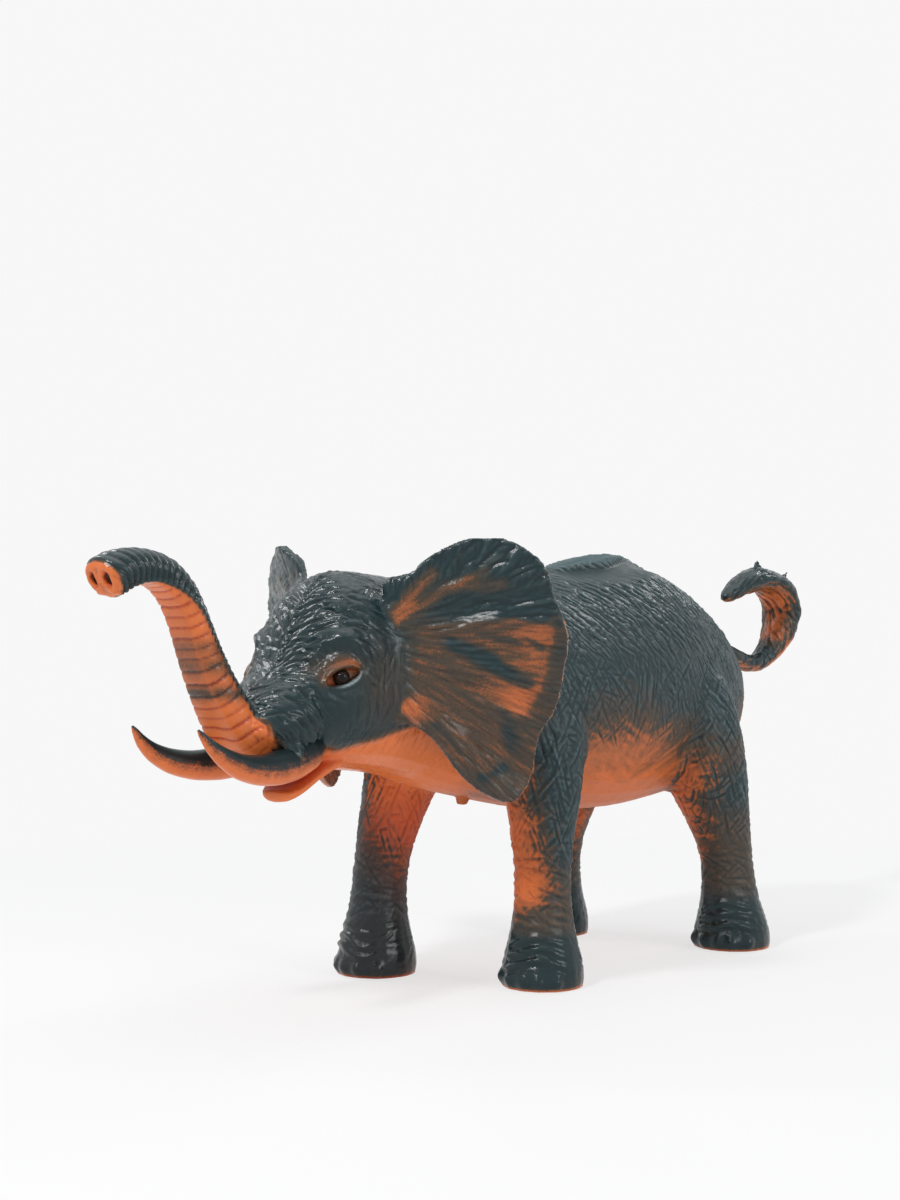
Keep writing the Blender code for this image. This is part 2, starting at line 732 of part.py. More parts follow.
def make_jaw(figure):
    jaw = figure.keep(loft, "lower_jaw", jaw_rings())
    cut(jaw, bpy.data.objects["form_seat"])
    middle = JAW_BASE_HEIGHT + JAW_HEIGHT / 2
    peg, hole = figure.peg_and_hole("jaw", (0, JAW_PEG_Y, middle), (0, 0, 1), JAW_PEG_RADIUS, JAW_PEG_LENGTH)
    join(jaw, peg)
    cut(figure.pieces["head"], hole)


def make_ears_and_eyes(figure):
    head = figure.pieces["head"]
    for name, side in (("left", 1), ("right", -1)):
        ear = figure.keep(ear_blade, f"ear_{name}", side)
        cut(ear, bpy.data.objects["form_seat"])
        join(ear, figure.tool(ear_tab, f"ear_tab_{name}", side, 0))
        cut(head, figure.tool(ear_tab, f"ear_slot_{name}", side, CLEARANCE))
        centre = Vector((side * EYE_SPREAD / 2, EYE_Y, EYE_HEIGHT))
        figure.keep(ball, f"eye_{name}", centre, EYE_RADIUS)
        cut(head, figure.tool(ball, f"eye_socket_{name}", centre, EYE_RADIUS + CLEARANCE))


def make_tail(figure):
    """A thin root and a curled tuft with pointed locks."""
    places = []
    sizes = []
    for back, up, wide, deep in TAIL_SHARES:
        places.append(tail_place(back, up))
        sizes.append((TUFT_HALF_WIDTH * wide, TUFT_HALF_DEPTH * deep))
    tail = figure.keep(loft, "tail", swept_rings(places, sizes, SMALL_SIDES))
    cut(tail, bpy.data.objects["form_seat"])
    for number, (back, up, tip_back, tip_up, wide) in enumerate(TUFT_LOCK_SHARES):
        ends = (tail_place(back, up), tail_place(tip_back, tip_up))
        join(tail, figure.tool(cone, f"tuft_lock_{number}", *ends, TUFT_HALF_DEPTH * wide, 0))
    way = places[0] - places[2]
    peg, hole = figure.peg_and_hole("tail", places[2], way, TAIL_PEG_RADIUS, TAIL_PEG_LENGTH)
    join(tail, peg)
    cut(figure.pieces["torso"], hole)
    cut(figure.pieces["stuffing"], hole)


def make_filler_plug(figure):
    foot = Vector((0, PLUG_Y, PLUG_FOOT_HEIGHT))
    plug = figure.keep(rod, "filler_plug", foot, foot + Vector((0, 0, PLUG_LENGTH)), PLUG_RADIUS)
    rounding = plug.modifiers.new("Rounding", "BEVEL")
    rounding.width = PLUG_ROUNDING
    rounding.segments = 2
    hole = figure.tool(
        rod,
        "plug_hole",
        foot - Vector((0, 0, OVERRUN)),
        foot + Vector((0, 0, PLUG_LENGTH + CLEARANCE)),
        PLUG_RADIUS + CLEARANCE,
    )
    cut(figure.pieces["torso"], hole)
    cut(figure.pieces["stuffing"], hole)


def main():
    clear_scene()
    figure = Figure()
    wide = 2 * FORM_HALF_WIDTH
    far = 2 * FORM_LENGTH
    figure.tool(loft, "form_seat", form_rings(CLEARANCE))
    figure.tool(block, "ground", (-wide, -far, -wide), (wide, far, 0))
    make_body(figure)
    make_leg(figure, "front_leg_left", 1, True, FRONT_LEFT_FOOT_Y, FRONT_LEFT_SHOULDER_Y)
    make_leg(figure, "front_leg_right", -1, True, FRONT_RIGHT_FOOT_Y, FRONT_RIGHT_SHOULDER_Y)
    make_leg(figure, "rear_leg_left", 1, False, REAR_LEFT_FOOT_Y, REAR_LEFT_HIP_Y)
    make_leg(figure, "rear_leg_right", -1, False, REAR_RIGHT_FOOT_Y, REAR_RIGHT_HIP_Y)
    make_tusks(figure)
    make_trunk(figure)
    make_jaw(figure)
    make_ears_and_eyes(figure)
    make_tail(figure)
    make_filler_plug(figure)
    rest_on_origin(figure.holder, figure.pieces.values())


main()
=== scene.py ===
# %% [markdown]
# # A toy elephant in painted rubber
#
# The real toy is a soft rubber figure. Orange rubber is poured into a mould whose walls carry every wrinkle
# of the skin, and dark teal paint is then sprayed on from above and from the sides. The paint lies thick on
# the back, the head and the feet, and thins out to bare rubber on the belly, the throat and the front of
# the trunk.
#
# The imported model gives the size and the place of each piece. Everything below is built around it, in
# metres.

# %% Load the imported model
from math import cos, pi, radians, sin

import bmesh
import bpy
import numpy as np
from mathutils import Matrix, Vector
from mathutils.bvhtree import BVHTree


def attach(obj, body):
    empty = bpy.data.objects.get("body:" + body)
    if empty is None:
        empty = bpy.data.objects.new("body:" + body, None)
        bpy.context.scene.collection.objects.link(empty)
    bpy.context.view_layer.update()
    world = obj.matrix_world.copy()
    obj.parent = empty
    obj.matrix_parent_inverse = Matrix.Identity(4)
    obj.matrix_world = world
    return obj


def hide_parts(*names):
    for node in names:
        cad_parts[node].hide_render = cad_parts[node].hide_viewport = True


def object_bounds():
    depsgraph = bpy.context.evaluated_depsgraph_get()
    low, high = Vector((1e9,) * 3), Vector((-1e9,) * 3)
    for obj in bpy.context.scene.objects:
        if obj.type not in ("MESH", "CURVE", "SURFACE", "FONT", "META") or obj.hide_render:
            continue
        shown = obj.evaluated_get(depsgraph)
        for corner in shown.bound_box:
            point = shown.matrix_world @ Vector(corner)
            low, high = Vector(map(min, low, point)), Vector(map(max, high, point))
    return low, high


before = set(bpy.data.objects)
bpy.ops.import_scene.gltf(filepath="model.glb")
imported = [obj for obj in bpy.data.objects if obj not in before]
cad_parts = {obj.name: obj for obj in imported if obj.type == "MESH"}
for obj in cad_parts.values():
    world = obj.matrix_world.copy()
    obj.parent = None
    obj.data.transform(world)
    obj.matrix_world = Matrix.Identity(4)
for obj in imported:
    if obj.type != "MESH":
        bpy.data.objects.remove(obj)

PACKED_BOX = [list(corner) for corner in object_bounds()]
print("packed box in mm:", [[round(1000 * value, 1) for value in corner] for corner in PACKED_BOX])

# %% [markdown]
# ## Camera
#
# The photograph was taken from the elephant's front left, a little below the height of its back. The camera
# stands at that place and looks almost level, with a lens as long as the one that the perspective of the
# feet, the tusks and the ears asks for. A level camera keeps the legs upright in the picture. The middle of
# the feet lies FEET_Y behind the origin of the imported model, and places on the figure are measured from
# there.

# %% Camera
FEET_Y = 0.02168
CAMERA_PLACE = Vector((0.4034, FEET_Y - 0.5021, 0.1179))
CAMERA_LEVEL_WAY = Vector((-0.669, 0.743, 0)).normalized()
CAMERA_TILT = 0.010905
CAMERA_LENS = 55.02
SENSOR_WIDTH = 36

lens = bpy.data.cameras.new("camera")
lens.lens = CAMERA_LENS
lens.sensor_width = SENSOR_WIDTH
lens.sensor_fit = "AUTO"
lens.clip_start = 0.01
lens.clip_end = 20
camera = bpy.data.objects.new("camera", lens)
camera.location = CAMERA_PLACE
way = CAMERA_LEVEL_WAY + Vector((0, 0, CAMERA_TILT))
camera.rotation_euler = way.to_track_quat("-Z", "Y").to_euler()
bpy.context.scene.collection.objects.link(camera)
bpy.context.scene.camera = camera
bpy.context.scene.view_settings.view_transform = "Standard"

# %% [markdown]
# ## Floor, backdrop and light
#
# A catalogue photograph has a pale sweep with no edge in sight. A floor could curve up into a wall, but a
# wide flat floor that fades into the colour of the world does the same with less. Near the feet the floor
# is a matt surface that takes the soft shadows, with some of its plain colour mixed in, because they are
# faint in the photograph. Further out the camera sees its colour alone, so no horizon shows.

# %% Floor and world
PALE = (0.935, 0.935, 0.935, 1)
SWEEP_RADIUS = 6.0
SHADOW_REACH = 0.28
SHADOW_FADE = 0.44
SHADOW_LIFT = 0.72
FLOOR_DROP = 0.0002
ROOM_COLOUR = (0.93, 0.96, 1.0, 1)
ROOM_STRENGTH = 0.32


def link(tree, start, end):
    tree.links.new(start, end)


def seen_straight(nodes, tree):
    """One for what the camera, a reflection or clear material sees, zero for what lights the object."""
    path = nodes.new("ShaderNodeLightPath")
    through = nodes.new("ShaderNodeMath")
    through.operation = "MAXIMUM"
    seen = nodes.new("ShaderNodeMath")
    seen.operation = "MAXIMUM"
    link(tree, path.outputs["Is Camera Ray"], through.inputs[0])
    link(tree, path.outputs["Is Transmission Ray"], through.inputs[1])
    link(tree, through.outputs[0], seen.inputs[0])
    link(tree, path.outputs["Is Glossy Ray"], seen.inputs[1])
    return seen.outputs[0]


def make_world():
    world = bpy.data.worlds.new("studio")
    world.use_nodes = True
    tree = world.node_tree
    nodes = tree.nodes
    nodes.clear()
    shown = nodes.new("ShaderNodeBackground")
    shown.inputs["Color"].default_value = PALE
    shown.inputs["Strength"].default_value = 1
    room = nodes.new("ShaderNodeBackground")
    room.inputs["Color"].default_value = ROOM_COLOUR
    room.inputs["Strength"].default_value = ROOM_STRENGTH
    mix = nodes.new("ShaderNodeMixShader")
    out = nodes.new("ShaderNodeOutputWorld")
    link(tree, seen_straight(nodes, tree), mix.inputs[0])
    link(tree, room.outputs[0], mix.inputs[1])
    link(tree, shown.outputs[0], mix.inputs[2])
    link(tree, mix.outputs[0], out.inputs["Surface"])
    bpy.context.scene.world = world


def floor_finish():
    finish = bpy.data.materials.new("pale_sweep")
    finish.use_nodes = True
    tree = finish.node_tree
    nodes = tree.nodes
    nodes.clear()
    place = nodes.new("ShaderNodeNewGeometry")
    middle = nodes.new("ShaderNodeVectorMath")
    middle.operation = "LENGTH"
    link(tree, place.outputs["Position"], middle.inputs[0])
    fade = nodes.new("ShaderNodeMapRange")
    fade.interpolation_type = "SMOOTHSTEP"
    fade.inputs["From Min"].default_value = SHADOW_REACH
    fade.inputs["From Max"].default_value = SHADOW_FADE
    fade.inputs["To Min"].default_value = SHADOW_LIFT
    link(tree, middle.outputs["Value"], fade.inputs["Value"])
    share = nodes.new("ShaderNodeMath")
    share.operation = "MULTIPLY"
    link(tree, fade.outputs[0], share.inputs[0])
    link(tree, seen_straight(nodes, tree), share.inputs[1])
    matt = nodes.new("ShaderNodeBsdfDiffuse")
    matt.inputs["Color"].default_value = PALE
    plain = nodes.new("ShaderNodeEmission")
    plain.inputs["Color"].default_value = PALE
    mix = nodes.new("ShaderNodeMixShader")
    out = nodes.new("ShaderNodeOutputMaterial")
    link(tree, share.outputs[0], mix.inputs[0])
    link(tree, matt.outputs[0], mix.inputs[1])
    link(tree, plain.outputs[0], mix.inputs[2])
    link(tree, mix.outputs[0], out.inputs["Surface"])
    return finish


def make_floor():
    shape = bmesh.new()
    bmesh.ops.create_circle(shape, cap_ends=True, segments=96, radius=SWEEP_RADIUS)
    mesh = bpy.data.meshes.new("floor")
    shape.to_mesh(mesh)
    shape.free()
    mesh.materials.append(floor_finish())
    floor = bpy.data.objects.new("floor", mesh)
    floor.location.z = -FLOOR_DROP
    bpy.context.scene.collection.objects.link(floor)


make_world()
make_floor()

# %% [markdown]
# The shine on wet-looking paint is a picture of the lamps, so their size and place decide how the wrinkles
# read. A wide soft lamp hangs overhead. A small strong one stands high before the face and draws the crisp
# white lines on the brow and the feet. A larger one stands low on the elephant's left, which is the right
# of the picture, and fills the shade under the belly. Two small ones, high behind the rump and on the far
# side, pick out the back and the far outline. Each row gives a lamp's place, its aim, its size and its
# power.

# %% Lamps
LAMPS = (
    ("overhead", (-0.05, 0.05, 1.10), (0, 0.02, 0.05), 1.1, 3.5),
    ("front_key", (0.06, -0.78, 0.84), (0, -0.05, 0.09), 0.14, 5.6),
    ("right_side", (1.00, 0.05, 0.42), (0, 0.0, 0.08), 0.4, 2.6),
    ("far_back", (0.05, 0.95, 0.80), (0, 0.02, 0.10), 0.26, 1.7),
    ("far_left", (-0.75, -0.15, 0.75), (0, -0.08, 0.10), 0.22, 1.5),
)


def make_lamps():
    for name, place, aim, size, power in LAMPS:
        light = bpy.data.lights.new(name, "AREA")
        light.shape = "DISK"
        light.size = size
        light.energy = power
        lamp = bpy.data.objects.new(name, light)
        lamp.location = place
        lamp.rotation_euler = (Vector(aim) - Vector(place)).to_track_quat("-Z", "Y").to_euler()
        bpy.context.scene.collection.objects.link(lamp)


make_lamps()

# %% [markdown]
# ## The skin as one cast
#
# On the real toy the skin runs on over every joint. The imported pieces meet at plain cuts, and wrinkles made
# on each of them would break there. So the outsides of all the skin pieces are first run together into one
# close even net, as if wax were poured over them. The wad, the plug and the eyes are poured in as well, so
# that no hollow is left inside. The wrinkles are then carved over the whole of it, and at the end it is
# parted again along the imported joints, so that each piece keeps its name and its own closed mesh.

# %% Helpers for meshes as plain arrays
SKIN_NODES = (
    "torso", "head", "trunk", "lower_jaw", "ear_left", "ear_right",
    "front_leg_left", "front_leg_right", "rear_leg_left", "rear_leg_right", "tail",
)
NET_SIZE = 0.00056


def mesh_points(mesh):
    """The places of a mesh's points, one row each."""
    points = np.empty(3 * len(mesh.vertices))
    mesh.vertices.foreach_get("co", points)
    return points.reshape(-1, 3)


def add_piece(name, mesh):
    piece = bpy.data.objects.new(name, mesh)
    bpy.context.scene.collection.objects.link(piece)
    return piece


def even_net(piece, size):
    """The outside of a piece, covered by an even net of squares."""
    net = piece.modifiers.new("Net", "REMESH")
    net.mode = "VOXEL"
    net.voxel_size = size
    bpy.context.view_layer.update()
    shown = piece.evaluated_get(bpy.context.evaluated_depsgraph_get())
    return bpy.data.meshes.new_from_object(shown)


# %% Run the skin pieces together
INNER_NODES = ("stuffing", "filler_plug", "eye_left", "eye_right")
SEAM_GROWTH = 0.00025
SAME_PLACE = 1e-7


def poured_skin():
    """All skin nodes in one mesh, each grown a little so that neighbours run together, under one even net."""
    shape = bmesh.new()
    for node in SKIN_NODES + INNER_NODES:
        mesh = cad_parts[node].data.copy()
        part = bmesh.new()
        part.from_mesh(mesh)
        bmesh.ops.remove_doubles(part, verts=part.verts, dist=SAME_PLACE)
        bmesh.ops.recalc_face_normals(part, faces=part.faces)
        part.normal_update()
        for vert in part.verts:
            vert.co += vert.normal * SEAM_GROWTH
        part.to_mesh(mesh)
        part.free()
        shape.from_mesh(mesh)
        bpy.data.meshes.remove(mesh)
    mesh = bpy.data.meshes.new("poured_skin")
    shape.to_mesh(mesh)
    shape.free()
    cast = add_piece("poured_skin", mesh)
    result = even_net(cast, NET_SIZE)
    bpy.data.objects.remove(cast)
    return result


def largest_island(count, edges):
    """Which points hang together with the most others."""
    label = np.arange(count)
    while True:
        low = np.minimum(label[edges[:, 0]], label[edges[:, 1]])
        new = label.copy()
        np.minimum.at(new, edges[:, 0], low)
        np.minimum.at(new, edges[:, 1], low)
        new = new[new]
        if np.array_equal(new, label):
            break
        label = new
    names, sizes = np.unique(label, return_counts=True)
    print("separate shells in the net:", len(names), "largest", sizes.max())
    return label == names[sizes.argmax()]


def mesh_arrays(mesh):
    """The points, the edges and the four corners of each square of a net."""
    points = mesh_points(mesh)
    edges = np.empty(2 * len(mesh.edges), dtype=np.int64)
    mesh.edges.foreach_get("vertices", edges)
    edges = edges.reshape(-1, 2)
    corners = np.empty(len(mesh.loops), dtype=np.int64)
    mesh.loops.foreach_get("vertex_index", corners)
    totals = np.empty(len(mesh.polygons), dtype=np.int64)
    mesh.polygons.foreach_get("loop_total", totals)
    assert (totals == 4).all()
    return points, edges, corners.reshape(-1, 4)


points, edges, quads = mesh_arrays(poured_skin())
kept = largest_island(len(points), edges)
renumber = np.cumsum(kept) - 1
edges = renumber[edges[kept[edges].all(axis=1)]]
quads = renumber[quads[kept[quads].all(axis=1)]]
points = points[kept]
print("net:", len(points), "points,", len(quads), "squares")

# %% [markdown]
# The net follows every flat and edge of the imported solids, and its own squares leave small steps. Relaxing
# it evens both out. Plain averaging would shrink thin parts such as the ears, so each step inwards is
# followed by a slightly larger step outwards, which keeps the volume. The soles stay flat because their
# height is held.

# %% Relax the net
SOLE_HEIGHT = 0.0004
RELAX_STEPS = 36
STEP_IN = 0.50
STEP_OUT = -0.53


def neighbour_mean(values):
    """The average of the values at the points that each point is joined to."""
    rows = values.reshape(len(values), -1)
    total = np.empty_like(rows)
    for column in range(rows.shape[1]):
        first = np.bincount(edges[:, 0], rows[edges[:, 1], column], len(rows))
        second = np.bincount(edges[:, 1], rows[edges[:, 0], column], len(rows))
        total[:, column] = first + second
    return (total / link_count[:, None]).reshape(values.shape)


def blurred(values, steps):
    """Values spread out over the skin, a little further with each step."""
    for _ in range(steps):
        values = 0.5 * values + 0.5 * neighbour_mean(values)
    return values


def surface_normals(places):
    """The direction out of the surface at each point."""
    corner = places[quads]
    facing = np.cross(corner[:, 2] - corner[:, 0], corner[:, 3] - corner[:, 1])
    total = np.zeros_like(places)
    for column in range(3):
        for side in range(4):
            total[:, column] += np.bincount(quads[:, side], facing[:, column], len(places))
    length = np.linalg.norm(total, axis=1, keepdims=True)
    return total / np.maximum(length, 1e-12)


link_count = np.bincount(edges.ravel(), minlength=len(points)).astype(float)
soles = points[:, 2] < SOLE_HEIGHT
for _ in range(RELAX_STEPS):
    for size in (STEP_IN, STEP_OUT):
        points = points + size * (neighbour_mean(points) - points)
        points[soles, 2] = 0
print("relaxed in", RELAX_STEPS, "steps")

# %% [markdown]
# ## Which piece each point belongs to
#
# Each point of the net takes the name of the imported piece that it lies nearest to. Blurred copies of these
# names give soft borders, so that wrinkles can change from one region to the next without an edge.

# %% Name the points by their nearest piece
def nearest_pieces(places):
    """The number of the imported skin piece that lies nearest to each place."""
    corners = []
    faces = []
    owner = []
    for number, node in enumerate(SKIN_NODES):
        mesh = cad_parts[node].data
        start = len(corners)
        corners.extend(tuple(vert.co) for vert in mesh.vertices)
        for face in mesh.polygons:
            faces.append([start + index for index in face.vertices])
            owner.append(number)
    tree = BVHTree.FromPolygons(corners, faces)
    owner = np.array(owner)
    found = np.array([tree.find_nearest(place)[2] for place in places.tolist()])
    return owner[found]


REGION_BLUR = 24
normals = surface_normals(points)
piece_of = nearest_pieces(points)
share = {}
for number, node in enumerate(SKIN_NODES):
    share[node] = blurred((piece_of == number).astype(float), REGION_BLUR)
    print(node, int((piece_of == number).sum()), "points")

# %% [markdown]
# ## Carving tools
#
# Carving is done with sums over all the points at once. A swell pushes a rounded area out or in. A line
# raises or sinks what lies close to a drawn path. Creases are many short strokes that follow a direction
# laid over the skin, which is how a sculptor works them into the clay with a loop tool. Heights are in
# millimetres, and places are measured from the middle of the feet.

# %% Helpers for carving
FEET_MIDDLE = np.array((0, 1000 * FEET_Y, 0))

mm = 1000 * points - FEET_MIDDLE
mirrored = mm.copy()
mirrored[:, 0] = np.abs(mm[:, 0])
side_of = np.where(mm[:, 0] >= 0, 1.0, -1.0)


def in_metres(places):
    """Places in millimetres from the middle of the feet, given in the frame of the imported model."""
    return (places + FEET_MIDDLE) / 1000


def smooth_step(low, high, value):
    """Zero up to the low value, one from the high value on, and a smooth slope between them."""
    part = np.clip((value - low) / (high - low), 0, 1)
    return part * part * (3 - 2 * part)


def swell(centre, reach, places=None):
    """One at the centre, fading out over the reach along X, Y and Z."""
    places = mirrored if places is None else places
    away = (places - np.array(centre)) / np.array(reach)
    return np.exp(-(away ** 2).sum(axis=1))


def line(path, width, places=None):
    """One on a drawn path, fading out over the width on both sides."""
    places = mirrored if places is None else places
    path = np.array(path, dtype=float)
    reach = 4 * width
    low = path.min(axis=0) - reach
    high = path.max(axis=0) + reach
    near = ((places > low) & (places < high)).all(axis=1)
    chosen = places[near]
    nearest = np.full(len(chosen), 1e9)
    for start, end in zip(path, path[1:]):
        way = end - start
        part = np.clip((chosen - start) @ way / (way @ way), 0, 1)
        gap = np.linalg.norm(chosen - start - part[:, None] * way, axis=1)
        nearest = np.minimum(nearest, gap)
    result = np.zeros(len(places))
    result[near] = np.exp(-(nearest / width) ** 2)
    return result


def scatter(cells, seed):
    """An even random number from 0 to 1 for each cell of a grid, the same on every run."""
    value = cells[:, 0] * 73856093 ^ cells[:, 1] * 19349663 ^ cells[:, 2] * 83492791 ^ (seed * 2654435761)
    value = (value ^ (value >> 13)) * 1274126177
    value = value ^ (value >> 16)
    return (value & 0xFFFFFF) / 0x1000000


NEIGHBOURS = [np.array((i, j, k)) for i in (-1, 0, 1) for j in (-1, 0, 1) for k in (-1, 0, 1)]
CORNERS = [np.array((i, j, k)) for i in (0, 1) for j in (0, 1) for k in (0, 1)]


def cloud(places, size, seed):
    """Soft lumps of a given size, from 0 to 1."""
    scaled = places / size
    cell = np.floor(scaled).astype(np.int64)
    part = scaled - cell
    part = part * part * (3 - 2 * part)
    total = np.zeros(len(places))
    for corner in CORNERS:
        weight = np.prod(np.where(corner == 1, part, 1 - part), axis=1)
        total += weight * scatter(cell + corner, seed)
    return total


def clouds(places, size, seed):
    """Lumps with smaller lumps on them, from 0 to 1."""
    total = cloud(places, size, seed) + 0.5 * cloud(places, size / 2, seed + 1)
    return (total + 0.25 * cloud(places, size / 4, seed + 2)) / 1.75


def along_skin(direction, facing):
    """A direction laid flat on the surface."""
    flat = direction - facing * (direction * facing).sum(axis=1, keepdims=True)
    return flat / np.maximum(np.linalg.norm(flat, axis=1, keepdims=True), 1e-6)


def turned(run, facing, angle):
    """A direction on the surface, turned round the way out of it."""
    return run * cos(angle) + np.cross(facing, run) * sin(angle)


def carve(height):
    """Moves the skin in or out by a height in millimetres."""
    shift(normals * height[:, None])


def shift(move):
    """Moves every point by its own step, and keeps the mirrored copy with it."""
    global mm, mirrored
    mm = mm + move
    mirrored = mm.copy()
    mirrored[:, 0] = np.abs(mm[:, 0])


def melt(where, steps):
    """Softens the form where asked, as a warm tool does to wax."""
    near = edges[(where[edges] > 0.01).any(axis=1)]
    chosen, ends = np.unique(near, return_inverse=True)
    ends = ends.reshape(-1, 2)
    places = mm[chosen]
    count = np.maximum(np.bincount(ends.ravel(), minlength=len(chosen)), 1)[:, None]
    amount = where[chosen][:, None]
    for _ in range(steps):
        total = np.stack([
            np.bincount(ends[:, 0], places[ends[:, 1], axis], len(chosen))
            + np.bincount(ends[:, 1], places[ends[:, 0], axis], len(chosen))
            for axis in range(3)
        ], axis=1)
        places = places + amount * (total / count - places)
    move = np.zeros_like(mm)
    move[chosen] = places - mm[chosen]
    shift(move)


def both_sides(move):
    """A move written for the left side, mirrored on the right."""
    return move * np.stack([side_of, np.ones(len(mm)), np.ones(len(mm))], axis=1)


def creases(weight, run, size, width, spread, seed):
    """Short strokes along run, one in each cell of a grid, where the weight asks for them."""
    result = np.zeros(len(mm))
    near = np.flatnonzero(weight > 0.01)
    places = mm[near]
    facing = normals[near]
    ahead = run[near]
    aside = np.cross(facing, ahead)
    home = np.floor(places / size).astype(np.int64)
    deepest = np.zeros(len(near))
    for offset in NEIGHBOURS:
        cell = home + offset
        middle = np.stack([scatter(cell, seed + axis) for axis in range(3)], axis=1)
        away = places - (cell + middle) * size
        off_skin = np.abs((away * facing).sum(axis=1))
        tilt = (scatter(cell, seed + 3) - 0.5) * 2 * spread
        half = size * (0.45 + 0.55 * scatter(cell, seed + 4))
        strength = 0.45 + 0.55 * scatter(cell, seed + 5)
        lengthways = (away * ahead).sum(axis=1)
        crossways = (away * aside).sum(axis=1)
        far = np.abs(lengthways * np.cos(tilt) + crossways * np.sin(tilt)) / half
        gap = (crossways * np.cos(tilt) - lengthways * np.sin(tilt)) / width
        depth = strength * np.exp(-gap ** 2) * np.sqrt(np.clip(1 - far ** 2, 0, 1))
        depth *= np.clip(1.3 - off_skin / size, 0, 1)
        deepest = np.maximum(deepest, depth)
    result[near] = deepest * weight[near]
    return result


# %% [markdown]
# ## Larger forms
#
# Before any wrinkle comes the anatomy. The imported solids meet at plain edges, so the joins of the legs, the
# roots of the ears and the sheaths of the tusks are first melted a little. Then come the brow that hangs
# over each eye, the hollow temples, the cheeks, the grooved lens on top of the spine with the smooth
# channel beside it, and the toes. A soft ridge runs over the middle of the forehead, where the halves of
# the mould met. Its sharp lip follows later, with the wrinkles. The left and the right side share their
# numbers, because the photograph shows only one of them.

# %% Carve the head
HEAD_SWELLS = (
    ((18.4, -121.5, 112.0), (6.5, 6.0, 3.8), 1.3),
    ((25.0, -110.0, 102.0), (6.0, 7.0, 9.0), -1.0),
    ((20.5, -118.0, 91.0), (8.0, 9.0, 6.0), 0.7),
    ((15.0, -139.0, 86.0), (6.0, 9.0, 6.0), 0.8),
    ((12.0, -140.0, 97.0), (6.0, 9.0, 5.0), 0.5),
    ((0.0, -128.0, 113.0), (6.0, 9.0, 8.0), -0.5),
    ((14.0, -117.0, 124.0), (7.0, 8.0, 7.0), 0.6),
)
TUSK_SHEATH = ((13.5, -131.5, 79.0), (8.5, 7.5, 8.0))
EAR_SEAM = (
    (24.0, -103.5, 136.0), (24.5, -103.0, 126.0), (24.0, -103.0, 115.0),
    (24.0, -102.5, 104.0), (23.5, -101.5, 92.0),
)
EAR_SEAM_WIDTH = 3.6
MELT_SHARE = 0.7
MELT_STEPS = 160
BROW = (
    (12.9, -129.2, 107.2), (14.4, -126.6, 110.8), (17.6, -123.0, 113.0),
    (21.4, -119.2, 111.8), (23.6, -117.0, 107.4),
)
UNDER_BROW = (
    (13.6, -128.8, 104.2), (15.2, -126.4, 107.2), (18.0, -123.3, 109.2),
    (21.4, -119.6, 108.2), (23.2, -117.4, 104.6),
)
CHEEK_CREASE = (
    (17.0, -131.5, 95.5), (18.4, -129.4, 91.5), (18.2, -128.4, 87.0),
    (16.0, -127.8, 83.5), (12.5, -126.5, 80.0),
)
JAW_LINE = (
    (11.5, -122.5, 79.0), (13.9, -114.2, 79.0), (16.5, -106.1, 80.2),
    (19.0, -97.9, 82.6), (21.0, -92.0, 84.5),
)
HEAD_LINES = (
    (BROW, 1.7, 0.80), (UNDER_BROW, 1.3, -0.90), (CHEEK_CREASE, 1.2, -0.90), (JAW_LINE, 1.4, -0.50),
)
THROAT_SEAM = ((3.0, -92.0, 70.0), (4.6, -84.0, 68.5), (4.0, -74.1, 65.5), (3.0, -62.0, 62.0))
THROAT_SEAM_WIDTH = 0.6
THROAT_SEAM_DEPTH = 0.25
PARTING_LINE = (
    (0, -104.0, 134.5), (0, -112.0, 133.0), (0, -120.4, 125.1),
    (0, -128.3, 111.0), (0, -133.8, 100.1), (0, -141.0, 97.5),
)
PARTING_WIDTH = 0.45
PARTING_RISE = 0.30

head = share["head"]
joins = share["torso"] * sum(share[leg] for leg in SKIN_NODES if "_leg_" in leg)
soft = 2 * swell(*TUSK_SHEATH) + 1.4 * line(EAR_SEAM, EAR_SEAM_WIDTH) + 5 * joins
melt(MELT_SHARE * np.clip(soft, 0, 1), MELT_STEPS)
form = np.zeros(len(mm))
for centre, reach, height in HEAD_SWELLS:
    form += height * swell(centre, reach) * head
for path, width, height in HEAD_LINES:
    form += height * line(path, width) * head
form -= THROAT_SEAM_DEPTH * line(THROAT_SEAM, THROAT_SEAM_WIDTH)
form += PARTING_RISE * line(PARTING_LINE, PARTING_WIDTH, mm)
carve(form)

# %% [markdown]
# The opening of each eye is an almond that runs up towards the ear. It is measured on a small plane of its
# own: along the opening, up across it, and out of the head. The skin inside the almond is pressed in behind
# the bead, and the lids are rolled up round its edge.

# %% Open the eyes
EYE_MIDDLE = np.array((20.5, -123.3, 101.0))
EYE_OUT = np.array((0.80, -0.60, 0.02))
EYE_ALONG = np.array((0.557, 0.755, 0.347))
EYE_UP = np.cross(EYE_OUT, EYE_ALONG)
EYE_HALF_LENGTH = 5.2
EYE_UPPER = 2.3
EYE_LOWER = 1.9
EYE_DEPTH = 2.6
LID_RISE = 0.85
LID_FOLD = 0.55
LOWER_LID_RISE = 0.60

